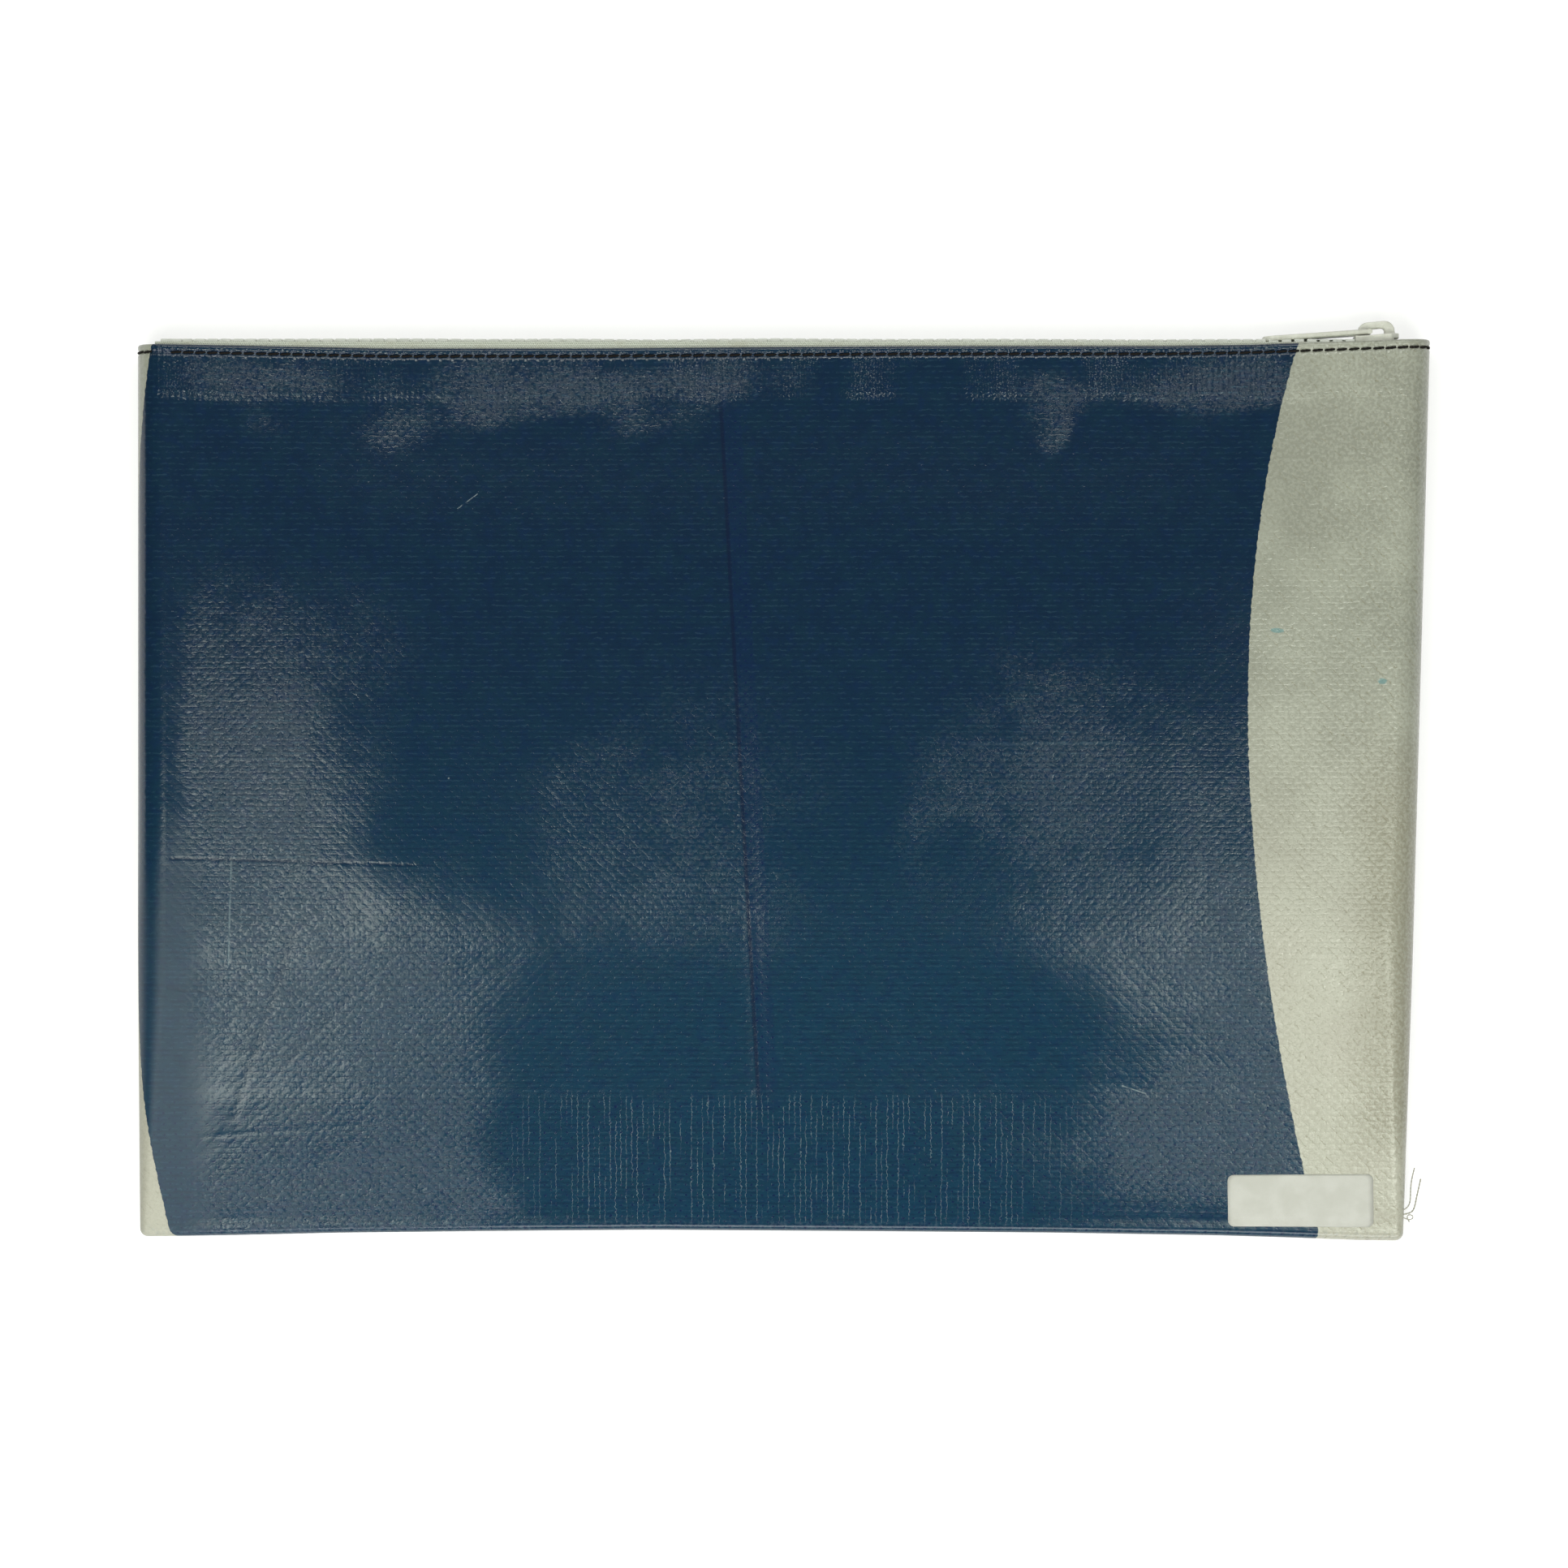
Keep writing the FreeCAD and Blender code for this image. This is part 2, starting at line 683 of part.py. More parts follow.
def make_slider_body():
    """Two plates joined by a post, with flanges that close over the teeth."""
    channel_tail = chain_half + size.slider_clearance
    channel_nose = channel_tail + size.nose_spread
    outer_tail = channel_tail + size.flange_thickness
    outer_nose = channel_nose + size.flange_thickness
    length = size.slider_length
    spread_from = length - size.nose_length
    spread_to = length - size.nose_length / 2
    shoulder = length - size.nose_tip_length
    tip = size.nose_tip_width / 2
    past_tip = length + size.nose_tip_length
    before_tail = -size.nose_tip_length

    def both_sides(half_outline):
        mirrored = [(x, -across) for x, across in reversed(half_outline)]
        return half_outline + mirrored

    body = new_body("slider_body")
    plan = body_sketch(body, "XZ_Plane", "slider_plan", both_sides([
        (0, outer_tail), (spread_from, outer_tail), (spread_to, outer_nose),
        (shoulder, outer_nose), (length, tip),
    ]))
    block = pad(body, plan, "slider_block", plate_top * 2)
    doc.recompute()
    rim = edges_where(block.Shape, lambda edge: abs(edge.CenterOfMass.y) > plate_top.value / 2)
    rounded = round_edges(body, block, "slider_rounding", rim, size.slider_edge_radius)
    doc.recompute()

    channel = body_sketch(body, "XZ_Plane", "channel_plan", both_sides([
        (before_tail, channel_tail), (spread_from, channel_tail), (spread_to, channel_nose),
        (past_tip, channel_nose),
    ]))
    hollow = body.newObject("PartDesign::Pocket", "channel")
    hollow.Profile = channel
    hollow.Midplane = True
    bind(hollow, Length=channel_half_height * 2)
    doc.recompute()

    slot_half = size.tape_thickness / 2 + size.tape_slot_clearance
    slots = body_sketch(body, "YZ_Plane", "tape_slots_section",
                        box_corners(-slot_half, -outer_nose * 2, slot_half, outer_nose * 2))
    cut_through(body, slots, "tape_slots")
    doc.recompute()

    post_mid = length - size.post_from_tip
    post_half = size.post_length / 2
    post_edge = size.post_width / 2
    post = body_sketch(body, "XZ_Plane", "post_plan", [
        (post_mid - post_half, 0), (post_mid, post_edge), (post_mid + post_half, 0),
        (post_mid, -post_edge),
    ])
    pad(body, post, "post", channel_half_height * 2 + size.slider_wall)
    put(body, slider_tail, chain_y, mid_depth)
    return body


def make_slider_bail():
    """The arch on the slider's outer plate that the pull tab's eye hangs on.

    Its back end is round about the pull tab's axis.
    """
    inner = bar_radius + size.puller_clearance
    outer = inner + size.bail_thickness
    foot = -inner
    window_end = size.bail_window
    leg_end = window_end + size.bail_leg_extra
    body = new_body("slider_bail")
    profile = body_sketch(body, "XY_Plane", "bail_profile", [
        (-outer, foot),
        (-outer, 0, 0, CLOCKWISE),
        (0, outer),
        (leg_end, outer, leg_end, CLOCKWISE),
        (leg_end + outer, 0),
        (leg_end + outer, foot),
        (window_end + inner, foot),
        (window_end + inner, 0, window_end, COUNTER_CLOCKWISE),
        (window_end, inner),
        (0, inner, 0, COUNTER_CLOCKWISE),
        (-inner, 0),
        (-inner, foot),
    ])
    arch = pad(body, profile, "bail_arch", size.bail_width)
    doc.recompute()
    side_face = size.bail_width.value / 2
    level = foot.value + 1e-3
    rim = edges_where(arch.Shape, lambda edge: abs(abs(edge.CenterOfMass.z) - side_face) < 1e-3
                      and edge.CenterOfMass.y > level)
    round_edges(body, arch, "bail_rounding", rim, size.bail_edge_radius)
    put(body, pivot_x, chain_y + pivot_height, mid_depth)
    return body


def make_pull_tab():
    """A flat tab; the round bar across its eye turns inside the bail."""
    half_width_tab = size.puller_width / 2
    reach = bar_radius - size.puller_length
    eye_half = size.bail_width / 2 + size.puller_eye_clearance
    eye_far = -bar_radius - size.puller_eye
    body = new_body("pull_tab")
    plan = body_sketch(body, "XZ_Plane", "tab_plan",
                       box_corners(reach, -half_width_tab, 0, half_width_tab))
    blank = pad(body, plan, "tab_blank", size.puller_thickness)
    doc.recompute()
    nose = edges_where(blank.Shape, lambda edge: is_along(edge, Vector(0, 1, 0))
                       and edge.CenterOfMass.x < reach.value + 1e-3)
    nosed = round_edges(body, blank, "tab_nose", nose, size.puller_nose_radius)
    doc.recompute()
    rim = edges_where(nosed.Shape, lambda edge: edge.CenterOfMass.x < -1e-3
                      and abs(abs(edge.CenterOfMass.y) - bar_radius.value) < 1e-3)
    round_edges(body, nosed, "tab_rounding", rim, size.puller_edge_radius)
    doc.recompute()
    eye = body_sketch(body, "XZ_Plane", "eye_plan",
                      box_corners(eye_far, -eye_half, bar_radius, eye_half))
    cut_through(body, eye, "eye")
    doc.recompute()
    bar = body.newObject("Sketcher::SketchObject", "bar_section")
    bar.AttachmentSupport = [(origin_plane(body, "XY_Plane"), "")]
    bar.MapMode = "FlatFace"
    bar.addGeometry(Part.Circle(Vector(), Vector(0, 0, 1), bar_radius.value))
    bar.addConstraint(Sketcher.Constraint("Coincident", 0, 3, -1, 1))
    radius_index = bar.addConstraint(Sketcher.Constraint("Radius", 0, bar_radius.value))
    bar.setExpression(f"Constraints[{radius_index}]", bar_radius.text)
    pad(body, bar, "bar", size.puller_width)
    put(body, pivot_x, chain_y + pivot_height, mid_depth)
    bind(body, **{"Placement.Rotation.Angle": size.puller_sag})
    return body


# ---------------------------------------------------------------- the whole bag

pieces = [
    make_tarp_sheet(),
    make_base_strip(),
    *make_threads(),
    make_thread_tail(),
    make_label(),
    make_tape("zip_tape_front", FRONT),
    make_tape("zip_tape_back", BACK),
    make_teeth("teeth_front", FRONT),
    make_teeth("teeth_back", BACK),
    make_bottom_stop(),
    make_top_stop("top_stop_front", FRONT),
    make_top_stop("top_stop_back", BACK),
    make_slider_body(),
    make_slider_bail(),
    make_pull_tab(),
]
doc.recompute()

for item in doc.Objects:
    faults = {"Invalid", "Error"} & set(item.State)
    if faults:
        raise RuntimeError(f"{item.Name}: {sorted(faults)}")
for piece in pieces:
    if piece.Shape.isNull() or not piece.Shape.isValid():
        raise RuntimeError(f"{piece.Label}: no valid shape")

os.makedirs("parts", exist_ok=True)
for piece in pieces:
    piece.Shape.exportStep(f"parts/{piece.Label}.step")
    box = piece.Shape.BoundBox
    print(f"{piece.Label}: {len(piece.Shape.Solids)} solids, {piece.Shape.Volume:.1f} mm3, "
          f"x {box.XMin:.2f}..{box.XMax:.2f} y {box.YMin:.2f}..{box.YMax:.2f} "
          f"z {box.ZMin:.2f}..{box.ZMax:.2f}")
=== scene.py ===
import math
from types import SimpleNamespace

import bmesh
import bpy
import numpy as np
from mathutils import Matrix, Vector


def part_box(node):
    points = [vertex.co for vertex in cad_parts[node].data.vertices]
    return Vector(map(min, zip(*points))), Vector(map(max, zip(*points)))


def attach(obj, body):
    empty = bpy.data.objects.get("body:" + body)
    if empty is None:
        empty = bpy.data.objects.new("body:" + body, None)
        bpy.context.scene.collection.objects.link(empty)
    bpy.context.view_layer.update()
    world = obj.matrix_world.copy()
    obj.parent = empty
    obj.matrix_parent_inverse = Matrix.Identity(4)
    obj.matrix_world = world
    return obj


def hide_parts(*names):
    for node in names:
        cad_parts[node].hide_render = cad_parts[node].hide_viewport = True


# The looks of a flat tarpaulin zip bag lying on its back panel.  Shapes are worked out in
# millimetres in the CAD frame and turned into metres when a mesh is made.
# X runs along the zip, Y from the bottom fold up to the zip, Z up from the floor.

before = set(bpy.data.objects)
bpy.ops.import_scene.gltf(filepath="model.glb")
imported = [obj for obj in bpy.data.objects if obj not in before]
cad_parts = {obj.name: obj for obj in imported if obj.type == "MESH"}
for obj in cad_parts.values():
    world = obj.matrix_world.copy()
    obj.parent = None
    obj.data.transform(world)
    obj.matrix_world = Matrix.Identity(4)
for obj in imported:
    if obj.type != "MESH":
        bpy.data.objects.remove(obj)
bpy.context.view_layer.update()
MM = 0.001
rng = np.random.default_rng(7)


def node_box(node):
    """Lowest and highest corner of a CAD node in millimetres."""
    low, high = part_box(node)
    return np.array(low) / MM, np.array(high) / MM


# ---------------------------------------------------------------- sizes, in millimetres
SHEET_LOW, SHEET_HIGH = node_box("tarp_sheet")
LEFT_X, RIGHT_X = SHEET_LOW[0], SHEET_HIGH[0]
FOLD_Y, MOUTH_Y = SHEET_LOW[1], SHEET_HIGH[1]
CROWN = SHEET_HIGH[2]
SIDE_TAPER = 7.5                 # the right side leans in towards the fold
MOUTH_DEPTH = 17.0
FOLD_RADIUS = 2.5
THICKNESS = 0.8
HEM_DEPTH = 15.0
HEM_Y = MOUTH_Y - HEM_DEPTH      # where the turned-in hem ends
HEM_STEP = 0.28                  # the turned-in layer shows through as a raised band
CROWN_FROM_SIDE = 75.0
SLOPE_TOP_Y = -34.0              # front panel levels off above this
CREST_END_Y = 64.0               # and falls again towards the hem from here
CORNER_RADIUS = 2.5
CREASE_Y = FOLD_Y + 5.2          # a set crease just above the bottom fold
SEAM_Y = MOUTH_Y - 2.4           # the hem's stitch line
GROOVE_WIDTH, GROOVE_DEPTH = 1.0, 0.45
STITCH_PITCH, STITCH_LENGTH, THREAD_RADIUS = 3.65, 3.35, 0.34
HOLE_X = -183.5                  # one of the needle's holes
RIDGE_OFFSET, RIDGE_SLANT = 11.5, 0.054   # the banner's own seam, up the middle
STRIP_TOP_Y = node_box("base_strip")[1][1]
YARN = 1.64                      # one pair of the cloth's yarns


# ---------------------------------------------------------------- small helpers
def smooth(edge0, edge1, x):
    t = np.clip((x - edge0) / (edge1 - edge0), 0, 1)
    return t * t * (3 - 2 * t)


def soft_min(a, b, k):
    h = np.clip(0.5 + 0.5 * (b - a) / k, 0, 1)
    return b + (a - b) * h - k * h * (1 - h)


def eased_line(points, reach):
    """A smooth function through listed (x, value) points, rounded over reach millimetres."""
    xs = np.arange(LEFT_X - 60, RIGHT_X + 60, 0.5)
    px, pv = zip(*points)
    window = np.hanning(int(reach / 0.5) | 1)
    line = np.convolve(np.pad(np.interp(xs, px, pv), len(window) // 2, mode="edge"),
                       window / window.sum(), mode="valid")
    return lambda x: np.interp(x, xs, line)


def waves(x, y, count, longest, shortest, seed):
    """Soft seeded undulation between -1 and 1, from a few long plane waves."""
    r = np.random.default_rng(seed)
    total = np.zeros(np.broadcast(x, y).shape)
    for _ in range(count):
        length, turn, phase = r.uniform(shortest, longest), r.uniform(0, math.pi), r.uniform(0, 7)
        total = total + np.sin((x * math.cos(turn) + y * math.sin(turn)) * 2 * math.pi / length + phase)
    return total / count


def link(obj):
    bpy.context.scene.collection.objects.link(obj)
    return obj


def mesh_piece(name, points, faces, material, body="bag", replaces=()):
    """A mesh from points in millimetres, riding on a CAD body."""
    mesh = bpy.data.meshes.new(name)
    corners = [tuple(int(i) for i in face) for face in faces]
    mesh.from_pydata((np.asarray(points) * MM).tolist(), [], corners)
    mesh.validate()
    mesh.polygons.foreach_set("use_smooth", [True] * len(mesh.polygons))
    mesh.materials.append(material)
    obj = link(bpy.data.objects.new(name, mesh))
    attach(obj, body)
    if replaces:
        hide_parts(*replaces)
    return obj


def grid_faces(rows, cols, closed, start=0):
    r, c = np.meshgrid(np.arange(rows - 1), np.arange(cols if closed else cols - 1), indexing="ij")
    c2 = (c + 1) % cols
    quads = np.stack([r * cols + c, r * cols + c2, (r + 1) * cols + c2, (r + 1) * cols + c], -1)
    return quads.reshape(-1, 4) + start


def welded(faces, new_index):
    """Faces after their corners are renumbered, without those that close up."""
    out = []
    for face in new_index[np.asarray(faces)].tolist():
        kept = [v for i, v in enumerate(face) if v != face[i - 1]]
        if len(kept) > 2:
            out.append(kept)
    return out


def compact(points, faces):
    used = np.unique(np.concatenate([np.asarray(f) for f in faces]))
    lookup = np.full(len(points), -1)
    lookup[used] = np.arange(len(used))
    return points[used], [[int(lookup[v]) for v in f] for f in faces], used


def unit(v):
    return v / np.maximum(np.linalg.norm(v, axis=-1, keepdims=True), 1e-9)


# ---------------------------------------------------------------- materials
def srgb(r, g, b):
    """A colour written as 0-255 screen values, as linear light."""
    def linear(c):
        c /= 255
        return c / 12.92 if c <= 0.04045 else ((c + 0.055) / 1.055) ** 2.4
    return (linear(r), linear(g), linear(b), 1.0)


class Shader:
    """Builds one node material with short calls; values are sockets or plain numbers."""

    def __init__(self, name, roughness=0.5, specular=0.5, **constants):
        self.material = bpy.data.materials.new(name)
        self.material.use_nodes = True
        self.tree = self.material.node_tree
        self.surface = self.tree.nodes["Principled BSDF"]
        self.surface.inputs["Roughness"].default_value = roughness
        self.surface.inputs["Specular IOR Level"].default_value = specular
        for key, value in constants.items():
            self.surface.inputs[key.replace("_", " ")].default_value = value

    def put(self, socket, value):
        if isinstance(value, bpy.types.NodeSocket):
            self.tree.links.new(value, socket)
        else:
            socket.default_value = value

    def node(self, kind, **settings):
        made = self.tree.nodes.new(kind)
        for key, value in settings.items():
            setattr(made, key, value)
        return made

    def math(self, operation, a, b=0.0, clamp=False):
        made = self.node("ShaderNodeMath", operation=operation, use_clamp=clamp)
        for socket, value in zip(made.inputs, (a, b)):
            self.put(socket, value)
        return made.outputs[0]

    def add(self, a, b):
        return self.math("ADD", a, b)

    def sub(self, a, b):
        return self.math("SUBTRACT", a, b)

    def mul(self, a, b):
        return self.math("MULTIPLY", a, b)

    def step(self, value, low, high, out_low=0.0, out_high=1.0):
        made = self.node("ShaderNodeMapRange", interpolation_type="SMOOTHSTEP")
        for key, v in (("Value", value), ("From Min", low), ("From Max", high),
                       ("To Min", out_low), ("To Max", out_high)):
            self.put(made.inputs[key], v)
        return made.outputs[0]

    def mix(self, factor, a, b):
        made = self.node("ShaderNodeMix", data_type="RGBA")
        for index, value in ((0, factor), (6, a), (7, b)):
            self.put(made.inputs[index], value)
        return made.outputs[2]

    def mapped(self, vector, scale=(1, 1, 1), offset=(0, 0, 0)):
        made = self.node("ShaderNodeMapping")
        self.put(made.inputs["Vector"], vector)
        made.inputs["Scale"].default_value = scale
        made.inputs["Location"].default_value = offset
        return made.outputs[0]

    def noise(self, vector, scale, detail=2.0, rough=0.5):
        made = self.node("ShaderNodeTexNoise")
        self.put(made.inputs["Vector"], vector)
        for key, v in (("Scale", scale), ("Detail", detail), ("Roughness", rough)):
            made.inputs[key].default_value = v
        return made.outputs[0]

    def noise_channels(self, vector, scale, detail=2.0):
        """Three noises that don't follow each other."""
        made = self.node("ShaderNodeTexNoise")
        self.put(made.inputs["Vector"], vector)
        made.inputs["Scale"].default_value = scale
        made.inputs["Detail"].default_value = detail
        return self.split(made.outputs["Color"])

    def voronoi(self, vector, scale):
        made = self.node("ShaderNodeTexVoronoi")
        self.put(made.inputs["Vector"], vector)
        made.inputs["Scale"].default_value = scale
        return made.outputs["Distance"]

    def object_mm(self):
        made = self.node("ShaderNodeTexCoord")
        return self.mapped(made.outputs["Object"], (1 / MM,) * 3)

    def split(self, vector):
        made = self.node("ShaderNodeSeparateXYZ")
        self.put(made.inputs[0], vector)
        return made.outputs

    def color(self, value):
        self.put(self.surface.inputs["Base Color"], value)

    def roughness(self, value):
        self.put(self.surface.inputs["Roughness"], value)

    def bump(self, height_mm, strength=1.0):
        """Height in millimetres."""
        made = self.node("ShaderNodeBump")
        made.inputs["Strength"].default_value = strength
        made.inputs["Distance"].default_value = MM
        self.put(made.inputs["Height"], height_mm)
        self.put(self.surface.inputs["Normal"], made.outputs[0])


def patch(s, x, y, middle, reach):
    """A soft oval, 1 in its middle and 0 at its rim, in the sheet's millimetres."""
    ex, ey = s.mul(s.sub(x, middle[0]), 1 / reach[0]), s.mul(s.sub(y, middle[1]), 1 / reach[1])
    near = s.math("SUBTRACT", 1.0, s.add(s.mul(ex, ex), s.mul(ey, ey)), clamp=True)
    return s.mul(near, near)


def stroke(s, x, y, start, end, width):
    """A soft line from start to end, in the sheet's millimetres."""
    run = (end[0] - start[0], end[1] - start[1])
    rx, ry = s.sub(x, start[0]), s.sub(y, start[1])
    along = s.math("ADD", s.mul(rx, run[0] / (run[0] ** 2 + run[1] ** 2)),
                   s.mul(ry, run[1] / (run[0] ** 2 + run[1] ** 2)), clamp=True)
    off_x, off_y = s.sub(rx, s.mul(along, run[0])), s.sub(ry, s.mul(along, run[1]))
    return s.step(s.math("SQRT", s.add(s.mul(off_x, off_x), s.mul(off_y, off_y))), width, 0.0)


# creases and scratches: start, end, width, colour, strength; the dark creases are painted shade, the pale
# scratches are wear
MARKS = [
    ((-184, -20), (-111, -22), 0.9, (14, 34, 58), 0.8),
    ((-166, -21), (-167, -52), 0.5, (120, 138, 144), 0.5),
    ((56, 14), (103, 14.6), 0.8, (96, 122, 136), 0.12),
    ((102, -88.6), (109, -91), 0.3, (150, 164, 164), 0.5),
    ((-98, 85), (-92, 89.5), 0.22, (120, 142, 150), 0.4),
    ((-147, -42), (-166, -98), 2.6, (20, 46, 66), 0.6),
    ((-131, -62), (-152, -84), 1.6, (22, 48, 68), 0.5),
    ((-185, -59), (-160, -62), 1.2, (18, 42, 62), 0.5),
    ((-176, -104), (-120, -100), 1.3, (24, 54, 74), 0.5),
]


# where the coat shines most: middle x, middle y, reach along x and y, strength
SHEEN = [
    (160, -30, 46, 110, 0.9),
    (-160, -28, 42, 96, 1.15),
    (-114, -68, 46, 62, 1.1),
    (-150, 34, 52, 60, 0.6),
    (-30, -9, 66, 60, 0.6),
    (80, 2, 62, 58, 0.85),
    (134, -60, 50, 80, 0.8),
    (124, -110, 60, 36, 1.0),
    (-134, -120, 72, 30, 1.2),
    (-155, 124, 40, 10, 0.9),
    (-82, 121, 56, 15, 1.2),
    (-26, 123, 42, 12, 0.8),
    (84, 120, 30, 11, 1.0),
    (134, 121, 38, 14, 1.2),
]


# the print's right edge, X as a polynomial of Y in metres, highest power first
PRINT_RIGHT = (3.2985, 1.2754, 0.9705, -0.05148, 0.13988)
# its left edge, a parabola in millimetres: X and Y of its top, and its bend
PRINT_LEFT_X, PRINT_LEFT_Y, PRINT_LEFT_BEND = -201.8, 11.7, 0.0007706


def weave_forms(s, flat, x, y):
    """The weave under the coat.  Yarn pairs cross in staggered rows, so the cells line up on
    the two diagonals."""
    wobble = s.mul(s.sub(s.noise(flat, 0.22, 2), 0.5), 0.7)
    loose_u, loose_v, speckle = s.noise_channels(flat, 1.0)
    u = s.add(s.mul(x, 1 / YARN), s.add(wobble, s.mul(s.sub(loose_u, 0.5), 0.9)))
    v = s.add(s.mul(y, 1 / YARN), s.add(s.mul(wobble, 0.7), s.mul(s.sub(loose_v, 0.5), 0.6)))
    cell = s.mul(s.math("COSINE", s.mul(u, math.pi)), s.math("COSINE", s.mul(v, math.pi)))
    across = s.math("ABSOLUTE", s.math("SINE", s.mul(v, math.pi)))
    tremble = s.mul(s.sub(s.noise(flat, 0.9, 2), 0.5), 0.35)

    def crease(diagonal, width):
        apart = s.math("ABSOLUTE", s.sub(s.math("FRACT", s.add(s.mul(diagonal, 0.5), tremble)), 0.5))
        return s.step(apart, width, 0.02)

    def streaks(squeeze, scale, low, high):
        return s.step(s.noise(s.mapped(flat, (squeeze, 1, 1)), scale, 2), low, high)

    some_falling = s.step(s.noise(s.mapped(flat, offset=(40, 0, 0)), 0.3, 3, 0.7), 0.44, 0.6)
    some_rising = s.step(s.noise(flat, 0.8, 2), 0.5, 0.62)
    return SimpleNamespace(
        u=u, tremble=tremble, speckle=speckle,
        raised=s.step(cell, -0.1, 0.8),
        pore=s.step(cell, -0.74, -0.95),
        falling=s.mul(crease(s.add(u, v), 0.10), some_falling),
        rising=s.mul(crease(s.sub(u, v), 0.11), some_rising),
        # glint_fleck: streaks along the rows, used only for a painted highlight
        glint_fleck=s.mul(s.step(across, 0.5, 0.1), streaks(0.45, 1.1, 0.46, 0.6)),
        furrow=s.mul(s.step(across, 0.75, 0.98), streaks(0.3, 0.8, 0.42, 0.58)))


def print_mask(s, flat, x, y, inner):
    """1 where the navy print lies, between its two edges on the outer face."""
    edge_noise = s.sub(s.noise(flat, 0.6, 3), 0.5)
    y_metres = s.mul(y, MM)
    right = PRINT_RIGHT[0]
    for coefficient in PRINT_RIGHT[1:]:
        right = s.add(s.mul(right, y_metres), coefficient)
    right = s.add(s.mul(right, 1 / MM), edge_noise)
    rise = s.sub(y, PRINT_LEFT_Y)
    left = s.add(s.mul(s.mul(rise, rise), PRINT_LEFT_BEND), s.add(PRINT_LEFT_X, edge_noise))
    printed = s.mul(s.step(s.sub(right, x), -0.12, 0.12), s.step(s.sub(x, left), -0.12, 0.12))
    return s.mul(printed, s.math("LESS_THAN", inner, 0.5))


def layer_marks(s, flat, x, y):
    """The fold's doubling strip and the banner's own seam, as they show on the panel."""
    ragged = s.mul(s.sub(s.noise(s.mapped(flat, (1, 0.1, 1)), 0.5, 3), 0.5), 9)
    from_ridge = s.add(s.add(x, s.mul(y, RIDGE_SLANT)), RIDGE_OFFSET)
    fade = s.mul(s.step(y, 122, 112), s.step(y, -104, -84))
    return SimpleNamespace(
        strip=s.step(s.add(y, ragged), STRIP_TOP_Y + 1.0, STRIP_TOP_Y - 4.0),
        ridge_line=s.mul(s.step(s.math("ABSOLUTE", s.add(from_ridge, 1.2)), 0.9, 0.2), fade),
        ridge_band=s.mul(s.step(s.math("ABSOLUTE", s.sub(from_ridge, 1.8)), 3.4, 2.4), fade))


def sheen_mask(s, flat, x, y, patchy):
    """Where the coat is rubbed fine and scatters the light; elsewhere it stays glassy."""
    warp_x, warp_y, _ = s.noise_channels(flat, 0.035, 0.5)
    px = s.add(x, s.mul(s.sub(warp_x, 0.5), 44))
    py = s.add(y, s.mul(s.sub(warp_y, 0.5), s.step(y, 108, 118, 44, 8)))
    shiny = 0.0
    for middle_x, middle_y, reach_x, reach_y, strength in SHEEN:
        oval = patch(s, px, py, (middle_x, middle_y), (reach_x, reach_y))
        shiny = s.add(s.mul(oval, strength), shiny)
    shiny = s.math("MINIMUM", shiny, 1.15)
    shiny = s.mul(shiny, s.step(patchy, 0.3, 0.62, 0.6, 1.1))
    return s.mul(shiny, s.math("MAXIMUM", s.step(x, -186, -174), s.step(y, -100, -118)))


def navy_print(s, flat, low, blotch, shiny, weave, layers):
    # painted light: the navy is painted lighter and tealer towards the fold, standing in for stronger light
    # on the lower panel
    navy = s.mix(low, srgb(14, 38, 61), srgb(17, 53, 75))
    navy = s.mix(s.mul(s.step(blotch, 0.35, 0.65), 0.35), navy, srgb(18, 50, 64))
    navy = s.mix(s.mul(s.step(s.noise(flat, 0.3, 2), 0.45, 0.7), 0.4), navy, srgb(16, 40, 74))
    # painted shade: the navy is darker in the furrows between the weave's rows
    navy = s.mix(s.mul(weave.furrow, 0.45), navy, srgb(12, 33, 58))
    # painted highlight: lighter glints on the weave's rows, stronger where the coat shines
    navy = s.mix(s.mul(weave.glint_fleck, s.add(0.13, s.mul(shiny, 0.16))), navy, srgb(78, 112, 128))
    doubled = s.math("MAXIMUM", layers.strip, layers.ridge_band)
    navy = s.mix(s.mul(weave.pore, s.add(0.25, s.mul(doubled, 0.6))), navy, srgb(10, 28, 66))
    navy = s.mix(s.mul(layers.ridge_band, 0.22), navy, srgb(12, 34, 74))
    return s.mix(s.mul(layers.ridge_line, 0.65), navy, srgb(14, 26, 52))


def grey_white(s, flat, x, y, low, grain, weave):
    rough_side = s.step(x, 128, 185, 0.45, 1.0)
    leaning = s.mul(s.step(x, 164, 182), s.mul(s.step(y, 30, -20), s.step(y, -114, -98)))
    # painted light: the white is painted lighter towards the fold, standing in for stronger light on the
    # lower panel
    pale = s.mix(low, srgb(145, 147, 135), srgb(174, 172, 158))
    pale = s.mix(s.mul(s.step(s.noise(flat, 0.035, 2), 0.35, 0.7), 0.3), pale, srgb(190, 193, 178))
    pale = s.mix(s.mul(leaning, 0.75), pale, srgb(143, 140, 123))
    # painted shade: the crease lines on the rougher white are painted darker and browner, as shade in them
    pale = s.mix(s.mul(s.mul(weave.falling, rough_side), 0.7), pale, srgb(134, 131, 110))
    pale = s.mix(s.mul(s.mul(weave.rising, rough_side), 0.35), pale, srgb(140, 138, 118))
    speckled = s.mul(s.step(weave.speckle, 0.42, 0.62), rough_side)
    pale = s.mix(s.mul(speckled, 0.22), pale, srgb(206, 209, 195))
    return s.mix(s.mul(s.step(grain, 0.5, 0.36), 0.2), pale, srgb(140, 140, 122))


